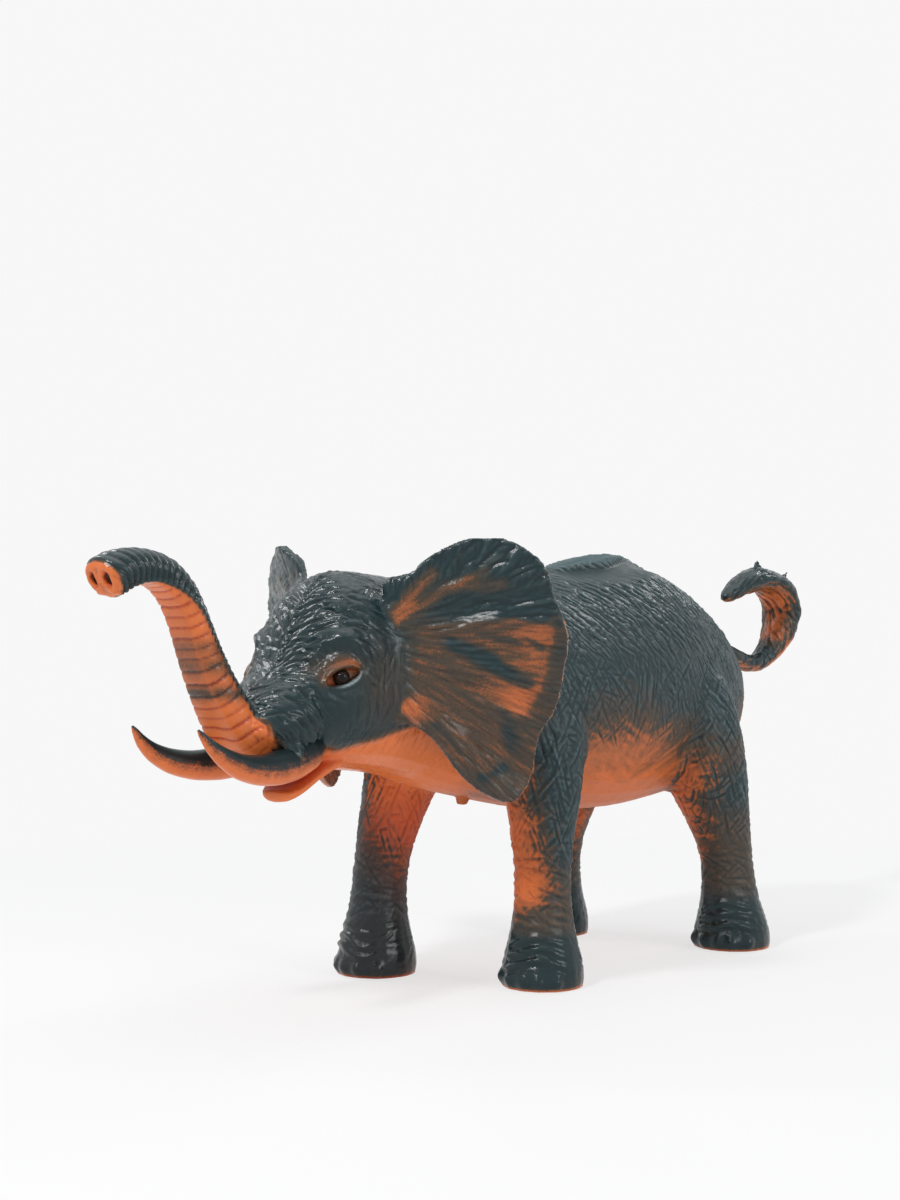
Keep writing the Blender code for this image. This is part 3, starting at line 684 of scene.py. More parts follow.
eye_along = (mirrored - EYE_MIDDLE) @ EYE_ALONG
eye_up = (mirrored - EYE_MIDDLE) @ EYE_UP
eye_near = np.clip(2.5 * swell(EYE_MIDDLE, (8.0, 8.0, 8.0)), 0, 1) * head
arch = np.sqrt(np.clip(1 - (eye_along / EYE_HALF_LENGTH) ** 2, 0, 1))
over_lid = eye_up - EYE_UPPER * arch
under_lid = -EYE_LOWER * arch - eye_up
opening = smooth_step(0.3, -0.4, np.maximum(over_lid, under_lid)) * (arch > 0) * eye_near
lid_span = smooth_step(EYE_HALF_LENGTH + 1.8, EYE_HALF_LENGTH - 0.6, np.abs(eye_along)) * eye_near
upper_roll = np.exp(-((over_lid - 0.9) / 0.75) ** 2) * lid_span
upper_fold = np.exp(-((over_lid - 2.4) / 0.55) ** 2) * lid_span
lower_roll = np.exp(-((under_lid - 0.65) / 0.55) ** 2) * lid_span
lid_height = LID_RISE * upper_roll - LID_FOLD * upper_fold + LOWER_LID_RISE * lower_roll - EYE_DEPTH * opening
shift(both_sides(EYE_OUT * lid_height[:, None]))

# %% Carve the spine, the feet and the jaw
NAIL_ANGLES = (-44, -14, 10, 33, 58)
FEET = {
    "front_leg_left": (27.75, -40.0, 13.6),
    "front_leg_right": (-27.75, -60.0, 13.6),
    "rear_leg_left": (33.5, 61.5, 13.6),
    "rear_leg_right": (-33.5, 41.0, 13.6),
}
NAIL_LEVEL = 3.0
NAIL_SIZE = (2.3, 2.3, 2.4)
NAIL_RISE = 1.5
FOOT_FOLDS = ((8.4, 0.75), (11.8, 0.60), (15.4, 0.45), (19.0, 0.20))
NOTCH_STEP = 2.7
NOTCH_HEIGHT = 0.70
CHANNEL_DEPTH = 1.7
MOUTH_DEPTH = 2.8
NORMAL_BLUR = 2

torso = share["torso"]
x_mm, y_mm, z_mm = mirrored[:, 0], mm[:, 1], mm[:, 2]
hump = smooth_step(-14, 2, y_mm) * smooth_step(88, 66, y_mm) * torso
crest = smooth_step(-10, 4, y_mm) * smooth_step(44, 30, y_mm) * torso
on_top = smooth_step(0.15, 0.5, normals[:, 2])
ridge_edge = x_mm - 4.0 - 6.5 * np.exp(-((y_mm - 18) / 15) ** 2)
channel = smooth_step(-1.0, 1.6, ridge_edge) * smooth_step(13.5, 6.0, ridge_edge) * hump * on_top
notches = np.cos(2 * pi * (y_mm - 0.6 * x_mm + 0.6 * np.sin(x_mm)) / NOTCH_STEP)
spine_relief = NOTCH_HEIGHT * notches * smooth_step(0.9, -0.5, ridge_edge) * crest * on_top
form = spine_relief - CHANNEL_DEPTH * channel
for name, (foot_x, foot_y, foot_radius) in FEET.items():
    leg = share[name]
    turn = np.degrees(np.arctan2((mm[:, 0] - foot_x) * np.sign(foot_x), -(mm[:, 1] - foot_y)))
    front = smooth_step(80, 25, np.abs(turn - 14)) * leg
    for angle in NAIL_ANGLES:
        outwards = radians(angle) * np.sign(foot_x)
        centre = (foot_x + foot_radius * sin(outwards), foot_y - foot_radius * cos(outwards), NAIL_LEVEL)
        form += NAIL_RISE * swell(centre, NAIL_SIZE, mm) * leg
    wander = 1.4 * np.sin(np.radians(3 * turn)) + 2.0 * (cloud(mm, 6.0, 3) - 0.5)
    for level, amount in FOOT_FOLDS:
        form += amount * np.exp(-((z_mm - level - wander) / 1.05) ** 2) * front
        form -= 0.5 * amount * np.exp(-((z_mm - level + 1.7 - wander) / 0.7) ** 2) * front
carve(form)

facing_up = smooth_step(0.1, 0.7, normals[:, 2])
scoop = swell((0, -126.5, 72.0), (6.0, 7.5, 30.0)) * share["lower_jaw"] * facing_up
carve(-MOUTH_DEPTH * scoop)
normals = blurred(surface_normals(mm), NORMAL_BLUR)
normals /= np.linalg.norm(normals, axis=1, keepdims=True)

# %% [markdown]
# ## The trunk
#
# The trunk is a bent tube: nearly forty narrow rings run round its back and sides, and its front is a flat
# panel of bare rubber with finer cross lines. Each point is given a place along the middle line and a place
# across it, and the rings are simple waves over the first of these.

# %% Measure along the trunk
TRUNK_PATH = (
    (-136.0, 77.9), (-146.2, 82.8), (-151.9, 91.7), (-156.5, 98.7), (-160.3, 106.0),
    (-163.0, 112.8), (-165.6, 119.1), (-169.2, 125.7), (-174.7, 130.8), (-181.3, 132.7),
    (-188.2, 132.0), (-193.0, 130.3), (-196.0, 128.4),
)
PATH_STEPS = 400
PATH_DETAIL = 40
PATH_SMOOTHING = 400
AT_ONCE = 20000


def fine_path(path, count):
    """A smooth line through the given places, at even steps."""
    path = np.array(path, dtype=float)
    knots = np.arange(len(path))
    fine = np.linspace(0, len(path) - 1, PATH_DETAIL * len(path))
    rows = np.stack([np.interp(fine, knots, path[:, axis]) for axis in range(path.shape[1])], axis=1)
    for _ in range(PATH_SMOOTHING):
        rows[1:-1] = 0.5 * rows[1:-1] + 0.25 * (rows[:-2] + rows[2:])
    steps = np.concatenate([[0], np.cumsum(np.linalg.norm(np.diff(rows, axis=0), axis=1))])
    even = np.linspace(0, steps[-1], count)
    return np.stack([np.interp(even, steps, rows[:, axis]) for axis in range(rows.shape[1])], axis=1), even


def ways_along(rows):
    """The direction of a path at each of its places."""
    ways = np.gradient(rows, axis=0)
    return ways / np.linalg.norm(ways, axis=1, keepdims=True)


def along_path(path, places):
    """How far along a path in the plane X = 0 each place is, how far off it, and how long the path is."""
    rows, steps = fine_path(path, PATH_STEPS)
    flat = places[:, 1:]
    nearest = np.empty(len(flat), dtype=np.int64)
    for start in range(0, len(flat), AT_ONCE):
        part = flat[start:start + AT_ONCE]
        gaps = ((part[:, None, :] - rows[None]) ** 2).sum(axis=2)
        nearest[start:start + AT_ONCE] = gaps.argmin(axis=1)
    way = ways_along(rows)[nearest]
    away = flat - rows[nearest]
    off = away[:, 1] * way[:, 0] - away[:, 0] * way[:, 1]
    return steps[nearest], off, steps[-1]


on_trunk = np.flatnonzero((share["trunk"] > 0.02) | ((mm[:, 1] < -134) & (mm[:, 2] > 76)))
trunk_along, trunk_off, TRUNK_LENGTH = along_path(TRUNK_PATH, mm[on_trunk])
print("trunk length along its middle in mm:", round(TRUNK_LENGTH, 1))

# %% Carve the rings, the front panel and the tip of the trunk
RING_STEP = 2.35
PANEL_STEP = 3.5
PANEL_ALONG = (0.0, 0.12, 0.25, 0.45, 0.60, 0.75, 1.0)
PANEL_BOUND = (-8, -8, -20, -20, -5, 30, 55)
WIDTH_ALONG = (0, 0.15, 0.45, 0.75, 0.92, 1.0)
HALF_WIDTHS = (9.8, 8.6, 6.6, 6.4, 7.4, 7.4)
RING_RISE = 0.30
RING_DEPTH = 0.75
BORDER_RISE = 0.40
PANEL_GROOVE_DEPTH = 0.45
PANEL_LEVEL = 0.624
PANEL_PRESS = 0.8
NOSTRIL_DEPTH = 0.95
NOSTRIL_RIM = 0.30
LIP_RISE = 0.9


def one_each(place, seed):
    """One random number from 0 to 1 for each whole step of a place."""
    step = np.floor(place).astype(np.int64)
    none = np.zeros_like(step)
    return scatter(np.stack([step, none, none], axis=1), seed)


trunk = share["trunk"][on_trunk]
trunk_part = trunk_along / TRUNK_LENGTH
half = np.interp(trunk_part, WIDTH_ALONG, HALF_WIDTHS)
trunk_turn = np.degrees(np.arctan2(trunk_off, np.abs(mm[on_trunk, 0])))
past_bound = trunk_turn - np.interp(trunk_part, PANEL_ALONG, PANEL_BOUND)
panel = smooth_step(-5, 5, past_bound) * smooth_step(TRUNK_LENGTH - 2, TRUNK_LENGTH - 7, trunk_along)
panel *= smooth_step(-139, -144, mm[on_trunk, 1]) * smooth_step(2, 6, trunk_along)
border = np.exp(-((past_bound + 7) / 6) ** 2)
drift_along = cloud(mm[on_trunk], 7.0, 5) - 0.5
ring_place = (trunk_along + 1.5 * drift_along + 0.35 * trunk_off) / RING_STEP
groove = np.exp(-((np.mod(ring_place, 1.0) - 0.5) / 0.19) ** 2)
uneven = 0.6 + 0.6 * one_each(ring_place, 6)
ringed = (1 - panel) * trunk * smooth_step(TRUNK_LENGTH + 1, TRUNK_LENGTH - 4, trunk_along)
panel_place = (trunk_along + 1.4 * drift_along) / PANEL_STEP
panel_uneven = 0.35 + 0.65 * one_each(panel_place, 8)
panel_groove = np.exp(-((np.mod(panel_place, 1.0) - 0.5) / 0.11) ** 2) * panel_uneven
panel_groove *= smooth_step(0, 14, past_bound)
too_high = np.clip(trunk_off - PANEL_LEVEL * half, 0, 2)
trunk_relief = np.zeros(len(mm))
trunk_relief[on_trunk] += ringed * uneven * (RING_RISE - RING_DEPTH * groove)
trunk_relief[on_trunk] += BORDER_RISE * border * trunk * smooth_step(6, 14, trunk_along)
trunk_relief[on_trunk] -= PANEL_GROOVE_DEPTH * panel * panel_groove + PANEL_PRESS * panel * too_high
panel_share = np.zeros(len(mm))
panel_share[on_trunk] = panel
panel_lines = np.zeros(len(mm))
panel_lines[on_trunk] = panel * panel_groove

TIP = np.array((0, -196.0, 128.6))
TIP_WAY = np.array((0, -0.86, -0.50))
from_tip = (mm - TIP) @ TIP_WAY
tip_face = smooth_step(-2.6, -0.8, from_tip) * share["trunk"] * (mm[:, 1] < -185)
tip_up = np.cross(np.array((1.0, 0, 0)), TIP_WAY)
tip_height = (mm - TIP) @ tip_up
nostril_away = np.sqrt(((mirrored[:, 0] - 3.0) / 1.45) ** 2 + ((tip_height + 0.2) / 2.6) ** 2)
nostril = smooth_step(1.15, 0.35, nostril_away) * tip_face
rim = np.exp(-((nostril_away - 1.45) / 0.35) ** 2) * tip_face
lip = swell((0, -194.5, 123.6), (3.6, 3.0, 1.3)) * (clouds(mm, 1.8, 9) - 0.2) * share["trunk"]
trunk_relief += -NOSTRIL_DEPTH * nostril + NOSTRIL_RIM * rim + LIP_RISE * lip
carve(trunk_relief)

# %% [markdown]
# ## The ears
#
# An ear is a thin sheet that hangs from its root like a fan, so its folds and creases all point at the
# root. The folds move both faces of the sheet the same way, which bends it instead of making it thicker.
# The far ear is cupped a little more at its top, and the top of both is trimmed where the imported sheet
# stands too high.

# %% Fold the ears
EAR_ROOT = np.array((23.0, -102.0))
EAR_FACING = np.array((0.56, -0.82, -0.05))
RAY_STARTS = (80, 88, 94, 100, 106, 112, 117, 119.5, 121)
RAY_SLOPES = (-70, -60, -50, -38, -22, -5, 14, 40, 64)
EAR_TRIM = ((4.0, 134.5), (5.5, 3.6), 1.8)
FAR_EAR_CUP = ((5.0, 138.0), (11.0, 11.0), 3.4)
LOOSE_FOLDS = 2.6
RAY_FOLDS = 0.7

ear = share["ear_left"] + share["ear_right"]


def ray_of(out, height):
    """The number of the fold line through each place on an ear, and its slope there."""
    number = np.where(height > 110, len(RAY_STARTS) - 1.0, 0.0)
    slope = np.radians(np.where(height > 110, RAY_SLOPES[-1], RAY_SLOPES[0]).astype(float))
    out = np.clip(out, 0, None) + 1.5
    for index in range(len(RAY_STARTS) - 1):
        low = RAY_STARTS[index] + out * np.tan(radians(RAY_SLOPES[index]))
        high = RAY_STARTS[index + 1] + out * np.tan(radians(RAY_SLOPES[index + 1]))
        part = (height - low) / (high - low)
        inside = (part >= 0) & (part < 1)
        number[inside] = index + part[inside]
        here = RAY_SLOPES[index] + part * (RAY_SLOPES[index + 1] - RAY_SLOPES[index])
        slope[inside] = np.radians(here[inside])
    return number, slope


from_root = mirrored[:, :2] - EAR_ROOT
ear_out = np.hypot(from_root[:, 0], from_root[:, 1]) * np.where(from_root[:, 0] + from_root[:, 1] > 0, 1, -1)
ray, ray_slope = ray_of(ear_out, mirrored[:, 2])
ear_plane = np.stack([ear_out, mirrored[:, 2], np.zeros(len(mm))], axis=1)
rays = np.stack([2.6 * ray, ear_out / 17.0, np.zeros(len(mm))], axis=1)
ear_normals = both_sides(normals)
ear_front = smooth_step(-0.25, 0.25, ear_normals @ EAR_FACING)
fold = LOOSE_FOLDS * (clouds(rays, 1.0, 31) - 0.5) + RAY_FOLDS * np.cos(2.2 * pi * ray)
fold *= ear * smooth_step(4, 20, ear_out) * (1 - 0.6 * smooth_step(122, 132, mm[:, 2]))
fold *= 1 - 0.7 * share["ear_right"] * smooth_step(84, 74, mm[:, 2])
centre, reach, depth = FAR_EAR_CUP
fold -= depth * swell(centre, reach, ear_plane[:, :2]) * share["ear_right"]
centre, reach, depth = EAR_TRIM
drop = depth * swell(centre, reach, ear_plane[:, :2]) * ear
shift(both_sides(EAR_FACING * fold[:, None]) - np.array((0, 0, 1.0)) * drop[:, None])

# %% [markdown]
# ## Wrinkles
#
# Two families of strokes that cross at a slant give the net of small diamonds on the back and the thighs.
# Long upright strokes make the bundle of creases on the flank and the loose skin of the cheeks. Slanted
# strokes and a few low folds cover the shins. The belly, the throat, the lids and the channel beside the
# spine are nearly smooth on the toy, so there the strokes fade out.
#
# Each layer gives the height of its strokes, where they lie, which way they run, how far apart they are,
# how wide, how much they stray, and a number that keeps their places the same on every run. The spacing
# also sets their length. Heights, spacings and widths are in millimetres.

# %% Directions over the skin
tailward = along_skin(np.tile(np.array((0.0, 1.0, 0.02)), (len(mm), 1)), normals)
upward = np.cross(normals, tailward) * side_of[:, None]
upright = along_skin(np.tile(np.array((0.02, 0.05, 1.0)), (len(mm), 1)), normals)
level = np.cross(normals, upright)
outwards = from_root / np.maximum(np.linalg.norm(from_root, axis=1, keepdims=True), 1e-6)
outwards = np.where(ear_out[:, None] > 4, outwards, np.array((0.82, 0.56)))
fan = np.column_stack([outwards * np.cos(ray_slope)[:, None], np.sin(ray_slope)])
fan = along_skin(both_sides(fan), normals)


def slanted(angle):
    """A direction on the flank: 0 points at the tail, 90 up, the same on both sides."""
    turn = radians(angle)
    return tailward * cos(turn) + upward * sin(turn)


def leg_slant(angle):
    """A direction on a leg: 0 is level, 90 upright."""
    turn = radians(angle)
    return level * cos(turn) * side_of[:, None] + upright * sin(turn)


def streaky(angle, length, width, seed):
    """Soft streaks over the side of the body, slanted at an angle as strokes are."""
    turn = radians(angle)
    ahead = mm[:, 1] * cos(turn) + mm[:, 2] * sin(turn)
    aside = mm[:, 2] * cos(turn) - mm[:, 1] * sin(turn)
    return clouds(np.stack([mm[:, 0] / length, ahead / length, aside / width], axis=1), 1.0, seed)


# %% Where each kind of wrinkle lies
x_mm, y_mm, z_mm = mirrored[:, 0], mm[:, 1], mm[:, 2]
rear = share["rear_leg_left"] + share["rear_leg_right"]
fore = share["front_leg_left"] + share["front_leg_right"]
tail = share["tail"]
belly = smooth_step(76, 62, z_mm) * torso
calm = (1 - 0.9 * belly) * (1 - 0.9 * channel)
upper = smooth_step(98, 112, z_mm) * torso * calm * smooth_step(0.5, 1.5, ridge_edge)
middle = smooth_step(70, 82, z_mm) * smooth_step(114, 102, z_mm) * torso * calm
haunch = np.clip(torso * smooth_step(22, 46, y_mm) + rear * smooth_step(30, 46, z_mm), 0, 1) * calm
bundle = swell((37.0, 4.0, 92.0), (9.0, 9.0, 16.0)) * torso
middle *= 1 - 0.8 * bundle
shoulder = torso * smooth_step(-14, -28, y_mm) * smooth_step(66, 80, z_mm)
fore_top = np.clip(fore * smooth_step(30, 44, z_mm) + shoulder, 0, 1)
shin = (fore * smooth_step(50, 40, z_mm) + rear * smooth_step(42, 32, z_mm)) * smooth_step(16, 22, z_mm)
foot = (fore + rear) * smooth_step(22, 16, z_mm) * smooth_step(2, 6, z_mm)
throat = head * smooth_step(82, 74, z_mm)
brow_dome = swell((18.4, -121.5, 112.0), (6.0, 6.0, 3.4)) * head
lids = np.clip(1.6 * swell(EYE_MIDDLE, (6.5, 7.0, 5.6)), 0, 1) * head
bare_skin = (1 - 0.8 * brow_dome) * (1 - lids) * (1 - 0.8 * throat)
forehead = head * smooth_step(-108, -116, y_mm) * smooth_step(92, 100, z_mm) * bare_skin
cheek = head * smooth_step(-126, -118, y_mm) * smooth_step(118, 106, z_mm) * bare_skin
snout = head * smooth_step(-124, -130, y_mm) * bare_skin
nape = head * smooth_step(104, 118, z_mm) * smooth_step(-118, -108, y_mm)
ear_lobe = ear * smooth_step(124, 130, z_mm)
ear_rest = ear * smooth_step(130, 122, z_mm)
tail_turn = np.stack([np.zeros(len(mm)), -(mm[:, 2] - 113), mm[:, 1] - 124], axis=1)
tail_run = turned(along_skin(tail_turn, normals), normals, 0.35)

# %% Lay the wrinkles
pits = np.zeros(len(mm))
rolls = np.zeros(len(mm))


def lay(height, weight, run, size, width, spread, seed):
    """Adds one layer of strokes, where the deepest stroke wins over those already there."""
    global pits
    pits = np.maximum(pits, height * creases(weight, run, size, width, spread, seed))


def roll(height, weight, run, size, width, spread, seed):
    """Adds one layer of raised strokes in the same way."""
    global rolls
    rolls = np.maximum(rolls, height * creases(weight, run, size, width, spread, seed))


lay(1.25, upper, slanted(-52), 5.4, 0.72, 0.20, 11)
lay(1.10, upper, slanted(-44), 4.8, 0.68, 0.24, 12)
lay(0.60, upper, slanted(28), 5.2, 0.60, 0.35, 13)
roll(0.45, upper, slanted(-50), 5.0, 0.60, 0.25, 51)
lay(0.70, middle, slanted(-64), 7.0, 0.66, 0.45, 14)
lay(0.70, middle, slanted(52), 7.0, 0.66, 0.45, 15)
lay(0.50, middle, slanted(5), 6.0, 0.60, 0.50, 16)
roll(0.35, middle, slanted(-58), 8.0, 0.50, 0.30, 52)
lay(1.20, bundle, slanted(74), 9.5, 0.80, 0.14, 17)
lay(1.10, bundle, slanted(84), 8.5, 0.75, 0.14, 18)
lay(0.95, haunch, slanted(-60), 7.4, 0.68, 0.18, 19)
lay(0.85, haunch, slanted(46), 7.4, 0.66, 0.18, 20)
lay(0.60, haunch, slanted(-52), 5.0, 0.60, 0.30, 21)
roll(0.40, haunch, slanted(-57), 8.5, 0.50, 0.12, 53)
roll(0.40, haunch, slanted(48), 8.5, 0.50, 0.12, 54)
lay(0.85, fore_top, leg_slant(68), 8.6, 0.68, 0.18, 24)
lay(0.80, fore_top, leg_slant(-60), 8.0, 0.66, 0.18, 25)
lay(0.55, fore_top, leg_slant(20), 6.0, 0.60, 0.35, 26)
roll(0.45, fore_top, leg_slant(62), 9.5, 0.52, 0.12, 55)
roll(0.35, fore_top, leg_slant(-52), 9.0, 0.50, 0.15, 56)
lay(0.60, shin, leg_slant(16), 7.0, 0.66, 0.40, 27)
lay(0.60, shin, leg_slant(-24), 6.6, 0.65, 0.40, 28)
lay(0.40, shin, leg_slant(64), 5.6, 0.58, 0.50, 29)
roll(0.30, shin, leg_slant(38), 8.0, 0.50, 0.40, 57)
lay(0.45, foot, leg_slant(24), 6.0, 0.65, 0.60, 43)
lay(1.05, forehead, slanted(-38), 6.2, 0.72, 0.26, 30)
lay(0.95, forehead, slanted(-52), 5.2, 0.66, 0.30, 31)
lay(0.45, forehead, slanted(30), 5.2, 0.55, 0.50, 32)
roll(0.55, forehead, slanted(-42), 5.6, 0.80, 0.35, 44)
lay(1.00, snout, slanted(-58), 5.2, 0.70, 0.26, 33)
lay(0.90, snout, slanted(-34), 5.6, 0.64, 0.30, 34)
roll(0.50, snout, slanted(-44), 5.0, 0.80, 0.40, 45)
lay(0.55, cheek, slanted(92), 7.0, 0.58, 0.20, 35)
lay(0.50, cheek, slanted(74), 5.4, 0.55, 0.40, 36)
lay(0.80, nape, slanted(-30), 6.0, 0.62, 0.35, 37)
lay(0.60, nape, slanted(24), 5.4, 0.58, 0.35, 38)
lay(0.80, ear_rest, fan, 8.0, 0.66, 0.10, 39)
lay(0.70, ear_rest, fan, 6.0, 0.60, 0.18, 40)
lay(0.45, ear_rest, fan, 4.6, 0.52, 0.50, 41)
roll(0.60, ear_rest, fan, 6.4, 0.80, 0.14, 46)
roll(0.90, ear_lobe, turned(fan, normals, 0.3), 8.0, 1.30, 0.30, 58)
lay(0.80, ear_lobe, fan, 6.4, 0.66, 0.25, 47)
lay(0.70, ear_lobe, turned(fan, normals, 0.7), 5.4, 0.62, 0.30, 48)
lay(0.90, tail, tail_run, 6.0, 0.66, 0.16, 49)
roll(0.60, tail, tail_run, 5.0, 0.80, 0.20, 50)
lay(0.16, belly, slanted(-15), 5.0, 0.55, 0.60, 42)
print("deepest wrinkle in mm:", round(float(pits.max()), 2))

# %% [markdown]
# Strokes alone would look drawn. Soft lumps, low folds on the shins and a raised lip along each groove make
# the skin look alive. The moulding line over the forehead gets its sharp lip here, on top of the soft
# ridge, with a small step beside it where the halves of the mould didn't quite meet. All of this is one
# move of the points. The depth of the wrinkles is kept as well, because the paint follows it, and the
# finish uses it for painted shade in the grooves and a painted highlight on the ridges.

# %% Lumps, folds of the shins, and one move for all of it
LIP_SHARE = 0.55
LIP_BLUR = 7
SHIN_FOLD = 0.17
SHIN_FOLD_STEP = 3.9
MOULD_RISE = 0.40
MOULD_STEP = 0.30
MEAN_BLUR = 14

smooth_parts = 0.7 * belly + 0.8 * brow_dome + panel_share + 0.7 * channel + 0.8 * throat + lids
smooth_parts = np.clip(smooth_parts, 0, 1)
lumpy = 0.34 * (clouds(mm, 4.2, 51) - 0.5) * (1 - 0.85 * smooth_parts)
lumpy += 1.5 * (clouds(mm, 5.5, 52) - 0.5) * tail * smooth_step(108, 118, z_mm)
uneven_folds = smooth_step(0.35, 0.7, cloud(mm, 7.0, 54))
shin_wave = np.sin(2 * pi * (z_mm + 7.0 * cloud(mm, 9.0, 53)) / SHIN_FOLD_STEP)
lumpy += SHIN_FOLD * shin_wave * shin * uneven_folds
relief = rolls - pits
relief = relief - LIP_SHARE * blurred(relief, LIP_BLUR) + lumpy
mould_line = MOULD_RISE * np.exp(-(mm[:, 0] / 0.5) ** 2)
mould_line -= MOULD_STEP * np.exp(-((mm[:, 0] - 1.1) / 0.55) ** 2)
mould_line *= head * smooth_step(-102, -110, y_mm) * smooth_step(94, 102, z_mm)
relief += mould_line * (0.35 + 0.65 * cloud(mm, 6.0, 59))
carve(relief)
relief = relief + trunk_relief + spine_relief
away_from_mean = relief - blurred(relief, MEAN_BLUR)
# hollow also feeds the painted shade in the grooves, and raised the painted highlight on the ridges.
hollow = np.clip(-away_from_mean, 0, 1)
raised = np.clip(away_from_mean, 0, 1)
LOW_CORNER, HIGH_CORNER = (np.array(corner) for corner in PACKED_BOX)
points = np.clip(in_metres(mm), LOW_CORNER, HIGH_CORNER)
points[soles, 2] = 0
normals = surface_normals(points)
print("carved", len(points), "points")

# %% [markdown]
# ## Where the paint lies
#
# The spray comes from above and from the sides. How thickly it lies is worked out for every point: full on
# the back, fading down the flank in slanted streaks, none on the belly, the throat, the front of the trunk
# and the insides of the legs. On the legs it is thickest on what faces outwards and backwards, along
# SPRAY_WAY. Where it fades it stays longest in the grooves, so the depth of the wrinkles is used as well.
# On the ears it looks brushed: strokes that leave the orange bare, strokes that cover it again, and fine
# hairs that run out from the root.

# %% Paint on the body and the head
SPRAY_WAY = (0.743, 0.669)
BODY_EDGE = ((-70, -50, -38, -20, 5, 22, 38, 50, 60, 90), (70, 62, 66, 77, 76, 71, 65, 60, 58, 80))
JAW_EDGE = ((-150, -136, -128, -119, -114, -106, -98, -90), (76, 77, 79.5, 78, 79.5, 81, 84, 87))

drifting = 9 * (clouds(mm, 15.0, 61) - 0.5)
left_right = SPRAY_WAY[0] * normals[:, 0] * side_of + SPRAY_WAY[1] * normals[:, 1]
rising = 18 * (streaky(28, 9.0, 1.6, 66) - 0.5)
falling = 16 * (streaky(-24, 7.0, 1.5, 67) - 0.5)
strokes = np.where(y_mm > 8, rising, falling)
body_paint = smooth_step(-17, 26, z_mm - np.interp(y_mm, *BODY_EDGE) + 0.8 * drifting + strokes)
chest = np.maximum(smooth_step(92, 76, z_mm) * smooth_step(30, 22, x_mm), smooth_step(70, 62, z_mm))
body_paint *= 1 - smooth_step(-42, -70, y_mm) * chest

head_paint = smooth_step(-1.4, 3.0, z_mm - np.interp(y_mm, *JAW_EDGE) + 0.3 * drifting)
lid_patch = np.exp(-((over_lid - 1.9) / 2.3) ** 2) * smooth_step(8.5, 5.0, np.abs(eye_along + 0.3)) * eye_near
lid_shade = swell((15.5, -127.4, 103.5), (6.0, 5.0, 3.4)) * head
temple_patch = swell((24.0, -108.0, 98.0), (9.0, 9.5, 12.0))
head_paint -= 0.62 * lid_patch * (1 - 0.7 * lid_shade) + 0.26 * lid_shade + 0.24 * temple_patch
inner_corner = swell((18.6, -126.6, 100.2), (2.2, 2.2, 1.8)) * opening
head_paint -= 0.6 * inner_corner + 0.45 * opening + panel_share

# %% Paint on the ears
def on_ear(path, width):
    """One on a stroke of the brush over an ear, given as (out from the root, height) in millimetres."""
    return line([(out, height, 0) for out, height in path], width, ear_plane)


def brush_marks(fineness, length, seed):
    """Soft streaks that run out from the root of an ear, from -0.5 to 0.5."""
    return clouds(np.stack([fineness * ray, ear_out / length, np.zeros(len(mm))], axis=1), 1.0, seed) - 0.5


BARE_STROKES = (
    (((-2.7, 118.0), (2.8, 124.3), (7.3, 129.3), (9.5, 131.8)), 2.3, 0.62),
    (((0.0, 119.5), (7.8, 122.8), (13.8, 127.3), (20.8, 129.3)), 2.2, 0.48),
    (((20.8, 129.3), (25.8, 132.3)), 1.8, 0.30),
    (((24.0, 127.5), (31.0, 129.0)), 2.2, 0.32),
    (((8.0, 113.5), (24.0, 116.0), (34.0, 116.3)), 2.4, 0.34),
    (((32.0, 116.0), (43.5, 115.4)), 2.6, 0.62),
    (((37.0, 112.0), (44.0, 111.5)), 2.4, 0.46),
    (((18.8, 113.0), (30.0, 109.8), (43.0, 107.0)), 2.4, 0.42),
    (((32.0, 105.5), (42.5, 103.0)), 2.6, 0.46),
    (((35.5, 101.0), (41.5, 98.5)), 2.2, 0.46),
    (((20.8, 101.3), (27.8, 98.0), (32.8, 95.2), (38.8, 95.8)), 2.8, 0.66),
    (((32.8, 95.0), (35.5, 91.4)), 3.0, 0.68),
    (((8.0, 109.0), (18.0, 106.0)), 3.2, 0.28),
    (((6.0, 102.0), (18.0, 98.0)), 3.4, 0.34),
    (((8.0, 96.0), (20.0, 90.0)), 3.2, 0.38),
    (((12.0, 91.0), (24.0, 81.0), (30.0, 78.0)), 2.8, 0.44),
    (((18.0, 90.0), (28.0, 85.0)), 2.4, 0.38),
    (((2.5, 92.3), (6.5, 89.3)), 2.2, 0.74),
    (((12.0, 83.0), (18.0, 77.5), (28.0, 73.0)), 1.9, 0.42),
)
COVERED_STROKES = (
    (((14.8, 122.3), (26.0, 121.2), (42.8, 119.0)), 2.0, 0.55),
    (((22.8, 113.5), (36.3, 111.0)), 0.9, 0.30),
    (((35.8, 113.6), (42.5, 109.5)), 1.0, 0.35),
    (((16.0, 111.0), (27.8, 105.3), (38.8, 98.8)), 2.2, 0.62),
    (((31.8, 90.8), (33.5, 86.0), (34.3, 80.0)), 2.2, 0.25),
    (((11.0, 86.5), (19.0, 77.0)), 1.3, 0.35),
    (((-0.5, 114.0), (-0.2, 93.0)), 2.0, 0.40),
    (((26.0, 70.0), (33.0, 72.5)), 1.8, 0.35),
)
BRIGHT_SPOTS = (
    ((36, 94), (7, 7), 1.0), ((2.5, 91), (5, 4), 1.0), ((41, 114), (7, 5), 0.7),
    ((1, 121), (6, 6), 0.6), ((41, 104), (6, 7), 0.45),
)

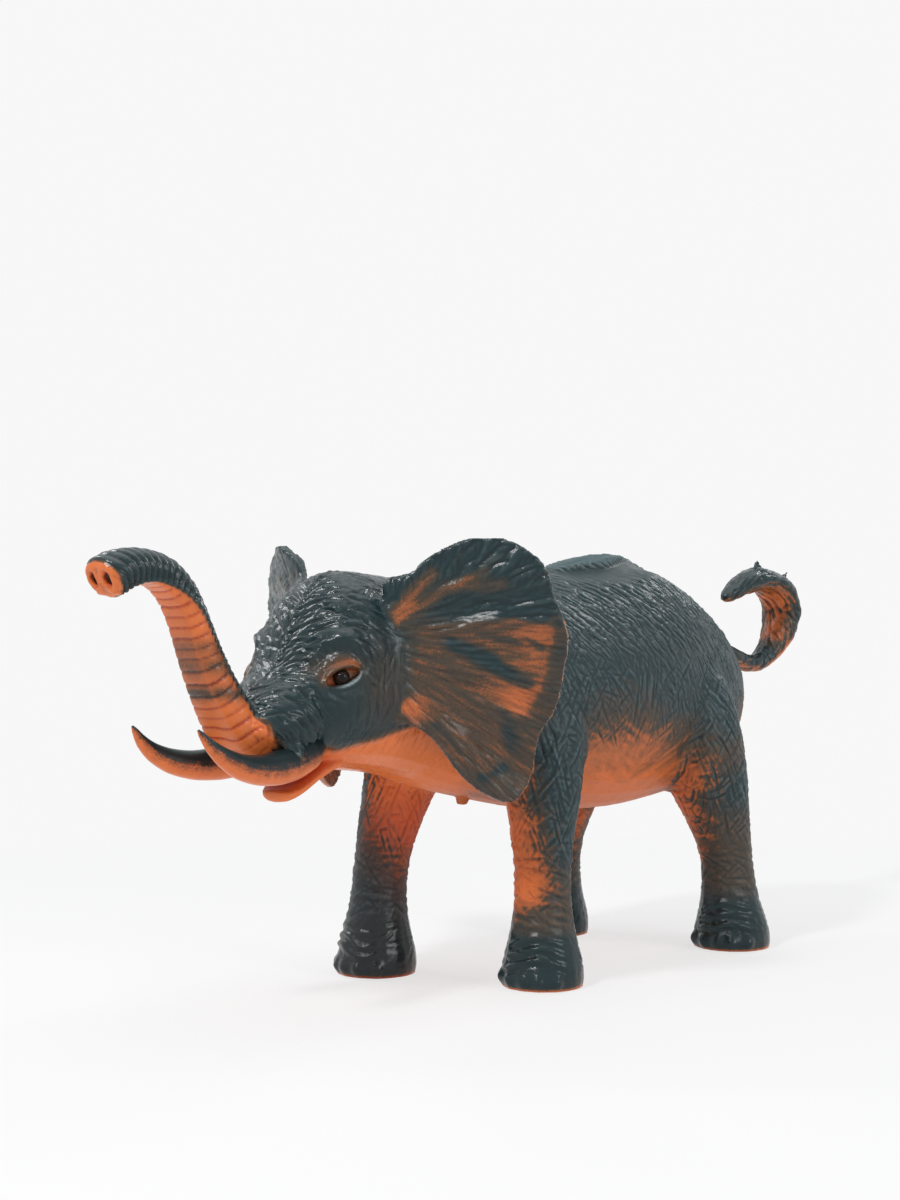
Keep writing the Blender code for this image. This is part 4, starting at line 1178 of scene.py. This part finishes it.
ear_paint = 1.05 - 0.26 * smooth_step(124, 114, z_mm) - 0.14 * smooth_step(100, 90, z_mm)
for path, width, amount in BARE_STROKES:
    ear_paint -= amount * on_ear(path, width)
for path, width, amount in COVERED_STROKES:
    ear_paint += amount * on_ear(path, width)
brush = brush_marks(9.0, 9.0, 68)
hairs = brush_marks(34.0, 6.0, 71)
ear_paint += 0.34 * brush * smooth_step(126, 118, z_mm) + 0.20 * brush + 0.32 * hairs
bright = sum(amount * swell(place, reach, ear_plane[:, :2]) for place, reach, amount in BRIGHT_SPOTS)
ear_floor = 0.57 - 0.36 * np.clip(bright, 0, 1) + 0.20 * brush + 0.34 * hairs
ear_paint = np.where(ear_front > 0.5, np.maximum(ear_paint, ear_floor), 0.92 + 0.2 * brush)
ear_paint = np.maximum(ear_paint, 0.9 * share["ear_right"] * smooth_step(84, 92, z_mm))
ear_paint -= 0.60 * share["ear_right"] * smooth_step(80, 72, z_mm)
ear_rim = smooth_step(0.35, 0.10, np.abs(ear_normals @ EAR_FACING)) * ear * smooth_step(120, 114, z_mm)
ear_rim *= np.maximum(smooth_step(24, 30, ear_out), smooth_step(92, 86, z_mm))
ear_paint = np.where(ear_rim > 0.3, 0.2, ear_paint)

# %% Paint on the legs, the trunk and the tail
FORE_TURN = ((10, 18, 24, 32, 45, 60, 76), (-3.0, -1.9, -0.9, 0.30, 0.05, -0.30, -0.70))
REAR_TURN = ((10, 20, 35, 50, 62, 76), (-2.4, -1.6, -0.8, -0.45, 0.0, 0.20))
SMOKE_BANDS = ((110.0, 2.3, 0.42), (104.6, 2.6, 0.50), (96.8, 2.2, 0.70))
TIGHT_BLUR = 10

broken = 0.9 * (streaky(8, 6.0, 1.4, 69) - 0.5) + 0.5 * (clouds(mm, 6.0, 62) - 0.5)
from_left = SPRAY_WAY[0] * normals[:, 0] + SPRAY_WAY[1] * normals[:, 1]
fore_paint = smooth_step(-1.00, 0.75, left_right - np.interp(z_mm, *FORE_TURN) + broken)
fore_paint *= 1 - 0.32 * smooth_step(15, 21, z_mm) * smooth_step(44, 30, z_mm)
outer_strip = smooth_step(-0.6, -0.95, from_left) * share["front_leg_right"]
rear_paint = smooth_step(-0.75, 0.60, left_right - np.interp(z_mm, *REAR_TURN) + broken)
rear_paint *= 1 - 0.30 * smooth_step(15, 24, z_mm) * smooth_step(58, 42, z_mm)
high_up = smooth_step(60, 74, z_mm)
rear_paint = rear_paint * (1 - high_up) + body_paint * high_up
right_level = smooth_step(62, 21, z_mm + 9 * from_left + 0.6 * drifting + 6 * broken)
front_right_paint = np.maximum(smooth_step(0.20, 0.75, normals[:, 0] * side_of), right_level)
heel = smooth_step(7, 1, z_mm) * smooth_step(-0.3, 0.6, normals[:, 1]) * (fore + rear)
leg_soles = smooth_step(1.1, 0.4, z_mm) + 0.35 * heel

smoke = 0.16 * smooth_step(94, 98, z_mm) * smooth_step(116, 110, z_mm)
for height, reach, amount in SMOKE_BANDS:
    smoke += amount * np.exp(-((z_mm - height) / reach) ** 2)
smoke *= 0.7 + 0.3 * cloud(mm, 3.4, 64)
trunk_paint = 1 - panel_share * (1 - 0.75 * smoke)
trunk_paint *= 1 - smooth_step(-2.2, -0.9, from_tip) * (mm[:, 1] < -185)

tail_under = smooth_step(0.1, -0.5, normals[:, 2]) * smooth_step(118, 104, z_mm)
tail_patch = swell((0, 141.0, 118.5), (9, 9, 9.5), mm)
tip_under = smooth_step(-0.1, -0.6, normals[:, 2]) * smooth_step(120, 124, z_mm)
outer_edge = swell((0, 143.0, 106.0), (8, 7, 7), mm)
tail_paint = 1.05 - 0.70 * tail_under - 0.95 * tail_patch - 0.6 * tip_under - 0.5 * outer_edge
tail_paint += 0.7 * swell((0, 131.0, 107.0), (9, 5, 6), mm)
tail_paint += 0.5 * (clouds(mm, 3.0, 70) - 0.5)

paint_by_piece = {
    "torso": body_paint, "head": head_paint, "lower_jaw": np.zeros(len(mm)), "trunk": trunk_paint,
    "ear_left": ear_paint, "ear_right": ear_paint, "front_leg_left": fore_paint,
    "front_leg_right": np.maximum(front_right_paint, outer_strip), "rear_leg_left": rear_paint,
    "rear_leg_right": rear_paint, "tail": tail_paint,
}
tight = {node: blurred((piece_of == number).astype(float), TIGHT_BLUR)
         for number, node in enumerate(SKIN_NODES)}
total = sum(tight.values())
paint = sum(tight[node] * np.clip(value, -0.2, 1.2) for node, value in paint_by_piece.items()) / total
paint -= leg_soles
fading = 4 * np.clip(paint, 0, 1) * (1 - np.clip(paint, 0, 1)) * (1 - 0.75 * np.clip(ear + lids, 0, 1))
paint += fading * (1.3 * hollow - 0.8 * raised + 0.20 * (clouds(mm, 2.0, 65) - 0.5))
paint = np.clip(paint, 0, 1)
print("share of the skin that is painted:", round(float(paint.mean()), 2))

# %% Gloss, redness with painted shade on the far leg, pale edges with painted highlights under the eyes
wet = head + 0.9 * share["trunk"] + 0.9 * smooth_step(24, 14, z_mm) + 0.75 * ear * ear_front + 0.7 * tail
wet = np.clip(wet, 0, 1) * (1 - 0.6 * swell((22.0, -108.0, 96.0), (9.0, 9.0, 12.0)))
wet = np.clip(wet + 0.35 * upper, 0, 1) * (1 - 0.3 * lids)
mouth = swell((0, -127.0, 73.5), (8, 9, 5.0)) * (share["lower_jaw"] + head)
mouth *= smooth_step(-0.3, 0.3, normals[:, 2])
mouth = np.clip(2.2 * mouth + swell((0, -122.0, 76.0), (10, 7, 3.0)), 0, 1)
red = np.clip(mouth + 0.9 * inner_corner + 0.75 * panel_lines, 0, 1)
# Low on the far front leg the skin is made redder: partly its own colour, partly painted shade.
red = np.clip(red + 0.6 * share["front_leg_right"] * smooth_step(66, 48, z_mm) + 0.9 * nostril, 0, 1)
# A pale line along each lower lid: a painted highlight.
lower_lid_highlight = np.exp(-((under_lid - 0.45) / 0.4) ** 2) * lid_span * smooth_step(-4, 1, eye_along)
pale = np.clip(0.45 * ear_rim + 0.85 * lower_lid_highlight, 0, 1)

# %% [markdown]
# ## Painted rubber
#
# One finish serves the whole skin. It mixes bare rubber and paint by the stored amount, breaks the edge of
# the spray into fine specks, and darkens the grooves with painted shade. The ridges get a painted highlight,
# a little paler where the paint is dry. A thin coat shows brown. It is redder in the mouth and in the
# nostrils, and on the far front leg the red-brown is partly its own colour and partly painted shade. Fine
# pores come from bump, because they are smaller than the net of the mesh.

# %% Finish of the skin
def new_finish(name):
    """A new material, its nodes, and the one that gives the surface."""
    finish = bpy.data.materials.new(name)
    finish.use_nodes = True
    tree = finish.node_tree
    return finish, tree, tree.nodes["Principled BSDF"]


def stored(tree, name):
    """The value of that name that every point of the skin carries."""
    node = tree.nodes.new("ShaderNodeAttribute")
    node.attribute_name = name
    return node.outputs["Fac"]


def number(tree, operation, first, second=None, third=None, clamp=False):
    """One step of arithmetic, on sockets or on plain numbers."""
    node = tree.nodes.new("ShaderNodeMath")
    node.operation = operation
    node.use_clamp = clamp
    for index, value in enumerate((first, second, third)):
        if value is None:
            continue
        if isinstance(value, (int, float)):
            node.inputs[index].default_value = value
        else:
            link(tree, value, node.inputs[index])
    return node.outputs[0]


def swing(tree, noise, amount):
    """Noise moved to lie round zero, times an amount."""
    return number(tree, "MULTIPLY", number(tree, "SUBTRACT", noise, 0.5), amount)


def blend_colour(tree, amount, first, second):
    """The first colour where the amount is 0 and the second where it is 1."""
    node = tree.nodes.new("ShaderNodeMix")
    node.data_type = "RGBA"
    node.clamp_factor = True
    link(tree, amount, node.inputs["Factor"])
    for key, value in (("A", first), ("B", second)):
        socket = [s for s in node.inputs if s.name == key and s.type == "RGBA"][0]
        if isinstance(value, tuple):
            socket.default_value = (*value, 1)
        else:
            link(tree, value, socket)
    return [s for s in node.outputs if s.type == "RGBA"][0]


def mottle(tree, scale, detail=3.0, rough=0.55, stretch=None):
    """Soft noise fixed to the piece, with its scale in lumps per metre."""
    place = tree.nodes.new("ShaderNodeTexCoord")
    noise = tree.nodes.new("ShaderNodeTexNoise")
    noise.inputs["Scale"].default_value = scale
    noise.inputs["Detail"].default_value = detail
    noise.inputs["Roughness"].default_value = rough
    source = place.outputs["Object"]
    if stretch:
        mapping = tree.nodes.new("ShaderNodeMapping")
        mapping.inputs["Scale"].default_value = stretch
        link(tree, source, mapping.inputs["Vector"])
        source = mapping.outputs["Vector"]
    link(tree, source, noise.inputs["Vector"])
    return noise.outputs["Fac"]


def bumped(tree, shader, height, distance):
    """Small dents in the shine, from a height socket and its reach in metres."""
    bump = tree.nodes.new("ShaderNodeBump")
    bump.inputs["Distance"].default_value = distance
    link(tree, height, bump.inputs["Height"])
    link(tree, bump.outputs["Normal"], shader.inputs["Normal"])


ORANGE = (0.750, 0.185, 0.046)
# Darker orange, for random tone and for painted shade in the grooves.
DARK_ORANGE_TONE_AND_SHADE = (0.330, 0.050, 0.015)
RED_ORANGE = (0.500, 0.050, 0.018)
TEAL = (0.0070, 0.0235, 0.0275)
# Deep teal, the painted shade in the grooves of the coat.
GROOVE_SHADE_TEAL = (0.0020, 0.0065, 0.0080)
# Pale teal, a painted highlight on the ridges of the coat.
RIDGE_HIGHLIGHT_TEAL = (0.070, 0.115, 0.125)
THIN_PAINT = (0.090, 0.050, 0.026)
THIN_OVER_RED = (0.120, 0.028, 0.014)
# Red-brown coat, partly painted shade on the far front leg.
RED_BROWN_AND_SHADE = (0.034, 0.013, 0.010)
PALE_TAN = (0.42, 0.27, 0.15)
# Pale blue-white, a painted highlight along the lower lids.
RIM_HIGHLIGHT_BLUE = (0.34, 0.44, 0.48)
SPECKS_PER_METRE = 2600
PATCHES_PER_METRE = 260
PORES_PER_METRE = 1500
PORE_DEPTH = 0.00008
DRY_ROUGHNESS = 0.37
WET_GLOSS = 0.22
RUBBER_SPECULAR = 0.32


def painted_rubber():
    finish, tree, shader = new_finish("painted_rubber")
    amount = stored(tree, "paint")
    groove = stored(tree, "hollow")
    ridge = stored(tree, "raised")
    redness = stored(tree, "red")
    shine = stored(tree, "wet")
    specks = mottle(tree, SPECKS_PER_METRE, 2.0, 0.6)
    patches = mottle(tree, PATCHES_PER_METRE, 4.0, 0.6)
    rest = number(tree, "SUBTRACT", 1.0, amount)
    fading = number(tree, "MULTIPLY", number(tree, "MULTIPLY", amount, rest), 4.0)
    uneven = number(tree, "MULTIPLY", swing(tree, specks, 0.5), fading)
    cover = number(tree, "ADD", amount, uneven, clamp=True)
    thin = number(tree, "MULTIPLY", cover, 1.8, clamp=True)
    thick = number(tree, "MULTIPLY_ADD", cover, 1.8, -0.8, clamp=True)
    # Painted shade: the bare rubber turns darker orange in the grooves. The patches are random tone.
    bare = blend_colour(tree, number(tree, "MULTIPLY", groove, 3.0, clamp=True), ORANGE, DARK_ORANGE_TONE_AND_SHADE)
    bare = blend_colour(tree, number(tree, "MULTIPLY", patches, 0.20), bare, DARK_ORANGE_TONE_AND_SHADE)
    bare = blend_colour(tree, redness, bare, RED_ORANGE)
    # Painted shade: the coat turns deep teal in the grooves.
    coat = blend_colour(tree, number(tree, "MULTIPLY", groove, 2.2, clamp=True), TEAL, GROOVE_SHADE_TEAL)
    dry = number(tree, "SUBTRACT", 1.0, number(tree, "MULTIPLY", shine, 0.85))
    # Painted highlight: the ridges of the coat turn paler, most where the paint is dry.
    ridge_highlight = number(tree, "MULTIPLY", number(tree, "MULTIPLY", ridge, 4.0), dry, clamp=True)
    coat = blend_colour(tree, ridge_highlight, coat, RIDGE_HIGHLIGHT_TEAL)
    # Where the red value is high the coat turns red-brown, partly painted shade on the far front leg.
    coat = blend_colour(tree, number(tree, "MULTIPLY", redness, 0.5), coat, RED_BROWN_AND_SHADE)
    brown = blend_colour(tree, redness, THIN_PAINT, THIN_OVER_RED)
    colour = blend_colour(tree, thick, blend_colour(tree, thin, bare, brown), coat)
    # Pale edges: tan on the rims of the ears, and blue-white under the eyes, where it is a painted highlight.
    edge_and_highlight_colour = blend_colour(tree, amount, PALE_TAN, RIM_HIGHLIGHT_BLUE)
    colour = blend_colour(tree, stored(tree, "pale"), colour, edge_and_highlight_colour)
    link(tree, colour, shader.inputs["Base Color"])
    satin = number(tree, "MULTIPLY_ADD", shine, -WET_GLOSS, DRY_ROUGHNESS)
    satin = number(tree, "MULTIPLY_ADD", patches, 0.08, satin)
    satin = number(tree, "MULTIPLY_ADD", rest, 0.08, satin)
    link(tree, satin, shader.inputs["Roughness"])
    shader.inputs["Specular IOR Level"].default_value = RUBBER_SPECULAR
    bumped(tree, shader, mottle(tree, PORES_PER_METRE, 3.0, 0.6), PORE_DEPTH)
    return finish


PAINTED_RUBBER = painted_rubber()

# %% [markdown]
# ## Parting the skin into its pieces
#
# Each piece takes its own squares from the net, and its open border is closed inside the figure. The pieces
# keep the normals of the whole net, so that light runs over the seams as it does on the one-piece skin.

# %% Part the skin
def square_owners():
    """The piece that holds most corners of each square, or the first of two with as many."""
    corner_piece = piece_of[quads]
    votes = (corner_piece[:, :, None] == corner_piece[:, None, :]).sum(axis=2)
    best = (len(SKIN_NODES) * votes - corner_piece).argmax(axis=1)
    return corner_piece[np.arange(len(quads)), best]


OWNER = square_owners()


def own_squares(number):
    """The points and squares of one piece, renumbered from zero."""
    chosen = quads[OWNER == number]
    used = np.unique(chosen)
    back = np.full(len(points), -1)
    back[used] = np.arange(len(used))
    return used, back[chosen]


STORED = {
    "paint": paint, "hollow": hollow, "raised": raised, "wet": wet, "red": red, "pale": pale,
}


def add_values(mesh, name, values):
    """Stores one value for every point of a mesh, for its finish to read."""
    layer = mesh.attributes.new(name, "FLOAT", "POINT")
    layer.data.foreach_set("value", np.ascontiguousarray(values, dtype=np.float32))


def skin_piece(name, number):
    """One piece of the skin, closed inside, with the stored values and the normals of the whole net."""
    used, faces = own_squares(number)
    mesh = bpy.data.meshes.new(name)
    mesh.from_pydata(points[used].tolist(), [], faces.tolist())
    shape = bmesh.new()
    shape.from_mesh(mesh)
    shape.verts.ensure_lookup_table()
    border = [edge for edge in shape.edges if len(edge.link_faces) == 1]
    caps = bmesh.ops.holes_fill(shape, edges=border, sides=0)["faces"]
    bmesh.ops.poke(shape, faces=caps)
    left = sum(1 for edge in shape.edges if len(edge.link_faces) != 2)
    shape.to_mesh(mesh)
    shape.free()
    added = len(mesh.vertices) - len(used)
    for key, values in STORED.items():
        add_values(mesh, key, np.concatenate([values[used], np.zeros(added)]))
    mesh.shade_smooth()
    mesh.normals_split_custom_set_from_vertices(normals[used].tolist() + [(0, 0, 0)] * added)
    mesh.materials.append(PAINTED_RUBBER)
    piece = add_piece(name, mesh)
    triangles = sum(len(face.vertices) - 2 for face in mesh.polygons)
    print(name, len(used), "points", triangles, "triangles", left, "open edges")
    return piece


def hand_over(piece, node):
    """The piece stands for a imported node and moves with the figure."""
    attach(piece, "root")
    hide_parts(node)


for order, node in enumerate(SKIN_NODES):
    hand_over(skin_piece(f"{node}_skin", order), node)

# %% [markdown]
# ## Tusks
#
# The tusks are smooth, unlike everything round them. Each is a bent horn drawn along its path, dark on top
# and bare beneath, with the thin line that the mould leaves along its edge.

# %% Tusks
TUSK_PATH = (
    (0.56, -121.0, 81.50, 2.40), (0.62, -125.0, 80.00, 4.20), (0.68, -129.0, 78.61, 5.20),
    (0.76, -135.3, 76.27, 5.20), (0.84, -142.5, 75.23, 5.00), (0.91, -150.6, 74.97, 4.40),
    (0.97, -158.7, 76.53, 3.70), (1.00, -165.0, 79.39, 2.79), (0.98, -169.5, 82.77, 1.89),
    (0.94, -172.6, 86.41, 0.90), (0.93, -173.5, 87.60, 0.35),
)
TUSK_HALF_SPREAD = 15.5
TUSK_RINGS = 150
TUSK_SIDES = 56
SEAM_HEIGHT = 0.10
SEAM_WIDTH = 0.07
TUSK_TEAL = (0.010, 0.020, 0.022)
SIDES = (("left", 1), ("right", -1))


def horn_points(side):
    """The rings of points round one tusk, from its root to its tip."""
    path = np.array([(side * TUSK_HALF_SPREAD * out, y, z) for out, y, z, _ in TUSK_PATH])
    rows, _ = fine_path(path, TUSK_RINGS)
    stretches = np.linalg.norm(np.diff(path, axis=0), axis=1)
    knots = np.concatenate([[0], np.cumsum(stretches)]) / stretches.sum()
    radius = np.interp(np.linspace(0, 1, TUSK_RINGS), knots, [row[3] for row in TUSK_PATH])
    places = []
    for row, way_here, size in zip(rows, ways_along(rows), radius):
        across_here = np.cross(way_here, (0, 0, 1.0))
        across_here /= np.linalg.norm(across_here)
        up_here = np.cross(across_here, way_here)
        for turn in np.linspace(0, 2 * pi, TUSK_SIDES, endpoint=False):
            seam = SEAM_HEIGHT * np.exp(-(sin(turn) / SEAM_WIDTH) ** 2)
            reach = size + seam * min(1, size / 2)
            places.append(row + reach * (cos(turn) * across_here + sin(turn) * up_here))
    return np.array(places)


def tube_faces(rings, sides):
    """The squares between rings of points, and a face over each end."""
    faces = []
    for ring in range(rings - 1):
        for side in range(sides):
            after = (side + 1) % sides
            here = ring * sides
            faces.append((here + side, here + after, here + sides + after, here + sides + side))
    faces.append(tuple(range(sides)))
    faces.append(tuple(range((rings - 1) * sides, rings * sides)))
    return faces


def closed_mesh(name, places, faces):
    """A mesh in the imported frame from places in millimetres, with its faces outward."""
    mesh = bpy.data.meshes.new(name)
    mesh.from_pydata(in_metres(places).tolist(), [], faces)
    shape = bmesh.new()
    shape.from_mesh(mesh)
    bmesh.ops.recalc_face_normals(shape, faces=shape.faces)
    shape.to_mesh(mesh)
    shape.free()
    mesh.shade_smooth()
    return mesh


def tusk_finish():
    finish, tree, shader = new_finish("tusk_paint")
    facing = tree.nodes.new("ShaderNodeNewGeometry")
    parts = tree.nodes.new("ShaderNodeSeparateXYZ")
    link(tree, facing.outputs["Normal"], parts.inputs[0])
    specks = mottle(tree, 2200, 3.0, 0.65)
    patches = mottle(tree, 300, 3.0, 0.6)
    cover = number(tree, "MULTIPLY_ADD", parts.outputs["Z"], 0.85, 0.62)
    cover = number(tree, "ADD", cover, swing(tree, specks, 1.1))
    cover = number(tree, "ADD", cover, swing(tree, patches, 0.6))
    sharp = tree.nodes.new("ShaderNodeMapRange")
    sharp.interpolation_type = "SMOOTHSTEP"
    sharp.inputs["From Min"].default_value = 0.15
    sharp.inputs["From Max"].default_value = 0.85
    link(tree, cover, sharp.inputs["Value"])
    bare = blend_colour(tree, number(tree, "MULTIPLY", patches, 0.4), ORANGE, DARK_ORANGE_TONE_AND_SHADE)
    link(tree, blend_colour(tree, sharp.outputs[0], bare, TUSK_TEAL), shader.inputs["Base Color"])
    link(tree, number(tree, "MULTIPLY_ADD", patches, 0.12, 0.24), shader.inputs["Roughness"])
    shader.inputs["Specular IOR Level"].default_value = RUBBER_SPECULAR
    bumped(tree, shader, mottle(tree, 900, 3.0, 0.5), 0.00006)
    return finish


TUSK_FINISH = tusk_finish()
for name, side in SIDES:
    mesh = closed_mesh(f"tusk_{name}_horn", horn_points(side), tube_faces(TUSK_RINGS, TUSK_SIDES))
    mesh.materials.append(TUSK_FINISH)
    hand_over(add_piece(f"tusk_{name}_horn", mesh), f"tusk_{name}")
print("tusks:", TUSK_RINGS, "rings of", TUSK_SIDES, "points")

# %% [markdown]
# ## Eyes
#
# Each eye is a small lacquered bead behind the lids: a brown iris with a black pupil that faces forwards
# and outwards. Rings of colour are worked out from the distance to the middle of the pupil.

# %% Eyes
EYE_PLACE = np.array((18.5, -122.4, 101.0))
EYE_RADIUS_MM = 2.6
EYE_LOOK = Vector(EYE_OUT.tolist()).normalized()
EYE_COLUMNS = 48
EYE_ROWS = 32
EYE_BULGE = 0.05
PUPIL_RADIUS = 0.0009
PUPIL_EDGE = 0.0012
PUPIL_BLACK = (0.002, 0.002, 0.002)
IRIS_DARK = (0.008, 0.005, 0.004)
IRIS_BROWN = (0.028, 0.014, 0.008)


def eye_finish(side):
    finish, tree, shader = new_finish("eye_lacquer")
    place = tree.nodes.new("ShaderNodeTexCoord")
    apart = tree.nodes.new("ShaderNodeVectorMath")
    apart.operation = "DISTANCE"
    link(tree, place.outputs["Object"], apart.inputs[0])
    look = np.array(EYE_LOOK) * EYE_RADIUS_MM / 1000
    middle = (in_metres(EYE_PLACE) + look) * np.array((side, 1, 1))
    apart.inputs[1].default_value = tuple(middle)
    streak = mottle(tree, 3000, 3.0, 0.6)
    pupil = tree.nodes.new("ShaderNodeMapRange")
    pupil.inputs["From Min"].default_value = PUPIL_RADIUS
    pupil.inputs["From Max"].default_value = PUPIL_EDGE
    link(tree, apart.outputs["Value"], pupil.inputs["Value"])
    iris = blend_colour(tree, streak, IRIS_DARK, IRIS_BROWN)
    link(tree, blend_colour(tree, pupil.outputs[0], PUPIL_BLACK, iris), shader.inputs["Base Color"])
    link(tree, number(tree, "MULTIPLY_ADD", streak, 0.04, 0.06), shader.inputs["Roughness"])
    shader.inputs["Specular IOR Level"].default_value = 0.2
    bumped(tree, shader, streak, 0.00002)
    return finish


for name, side in SIDES:
    shape = bmesh.new()
    bmesh.ops.create_uvsphere(shape, u_segments=EYE_COLUMNS, v_segments=EYE_ROWS, radius=EYE_RADIUS_MM)
    look = Vector((side * EYE_LOOK.x, EYE_LOOK.y, EYE_LOOK.z))
    turn = Vector((0, 0, 1)).rotation_difference(look).to_matrix()
    places = []
    for vert in shape.verts:
        domed = vert.co * (1 + EYE_BULGE * smooth_step(0.75, 1.0, vert.co.z / EYE_RADIUS_MM))
        places.append(np.array(turn @ domed) + EYE_PLACE * np.array((side, 1, 1)))
    shape.verts.index_update()
    faces = [[vert.index for vert in face.verts] for face in shape.faces]
    shape.free()
    mesh = closed_mesh(f"eye_{name}_bead", np.array(places), faces)
    mesh.materials.append(eye_finish(side))
    hand_over(add_piece(f"eye_{name}_bead", mesh), f"eye_{name}")
print("eyes set behind the lids")

# %% [markdown]
# ## Inside the belly
#
# A stuffed figure holds a wad of fibre, put in through the hole that the small plug under the chest closes.
# Neither shows from outside, apart from the plug's end, but both are part of the toy. The wad is the packed
# solid with a net of its own and soft lumps pressed inwards, so it never leaves its hollow.

# %% Stuffing and plug
WAD_NET = 0.0022
WAD_DENT = 0.0012
WAD_GREY = (0.66, 0.63, 0.57)
WAD_WHITE = (0.86, 0.84, 0.80)


def wad_finish():
    finish, tree, shader = new_finish("fibre_wad")
    tufts = mottle(tree, 420, 6.0, 0.7)
    fibres = mottle(tree, 1800, 4.0, 0.7, (1, 0.25, 1))
    colour = blend_colour(tree, tufts, WAD_GREY, WAD_WHITE)
    link(tree, colour, shader.inputs["Base Color"])
    link(tree, number(tree, "MULTIPLY_ADD", fibres, 0.1, 0.85), shader.inputs["Roughness"])
    shader.inputs["Sheen Weight"].default_value = 0.3
    bumped(tree, shader, fibres, 0.0006)
    return finish


def make_wad():
    wad = add_piece("stuffing_wad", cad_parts["stuffing"].data.copy())
    mesh = even_net(wad, WAD_NET)
    wad.modifiers.clear()
    wad.data = mesh
    mesh.name = "stuffing_wad"
    facing = np.empty(3 * len(mesh.vertices))
    mesh.vertices.foreach_get("normal", facing)
    places = mesh_points(mesh)
    dent = WAD_DENT * (0.2 + 0.8 * clouds(1000 * places, 9.0, 71))
    places -= facing.reshape(-1, 3) * dent[:, None]
    mesh.vertices.foreach_set("co", places.ravel())
    mesh.update()
    mesh.shade_smooth()
    mesh.materials.clear()
    mesh.materials.append(wad_finish())
    hand_over(wad, "stuffing")


make_wad()

PLUG_PATH = ((0, -48.0, 66.2), (0, -48.0, 62.0), (0.15, -48.1, 59.5), (0.3, -48.3, 57.3))
PLUG_ALONG = (0, 0.5, 0.8, 0.88, 0.93, 0.965, 0.985, 1.0)
PLUG_RADII = (1.80, 1.80, 1.78, 1.72, 1.66, 1.50, 1.10, 0.45)
PLUG_RINGS = 24
PLUG_SIDES = 32
PLUG_BROWN = (0.33, 0.105, 0.045)


def plug_finish():
    finish, tree, shader = new_finish("plug_rubber")
    patches = mottle(tree, 700, 4.0, 0.6)
    colour = blend_colour(tree, number(tree, "MULTIPLY", patches, 0.7), ORANGE, PLUG_BROWN)
    link(tree, colour, shader.inputs["Base Color"])
    link(tree, number(tree, "MULTIPLY_ADD", patches, 0.12, 0.40), shader.inputs["Roughness"])
    bumped(tree, shader, patches, 0.00015)
    return finish


def make_plug():
    rows, _ = fine_path(PLUG_PATH, PLUG_RINGS)
    radius = np.interp(np.linspace(0, 1, PLUG_RINGS), PLUG_ALONG, PLUG_RADII)
    places = []
    for row, size in zip(rows, radius):
        for turn in np.linspace(0, 2 * pi, PLUG_SIDES, endpoint=False):
            wobble = 1 - 0.05 * (1 + cos(3 * turn + row[2]))
            places.append(row + size * wobble * np.array((cos(turn), sin(turn), 0)))
    mesh = closed_mesh("filler_plug_stub", np.array(places), tube_faces(PLUG_RINGS, PLUG_SIDES))
    mesh.materials.append(plug_finish())
    hand_over(add_piece("filler_plug_stub", mesh), "filler_plug")


make_plug()
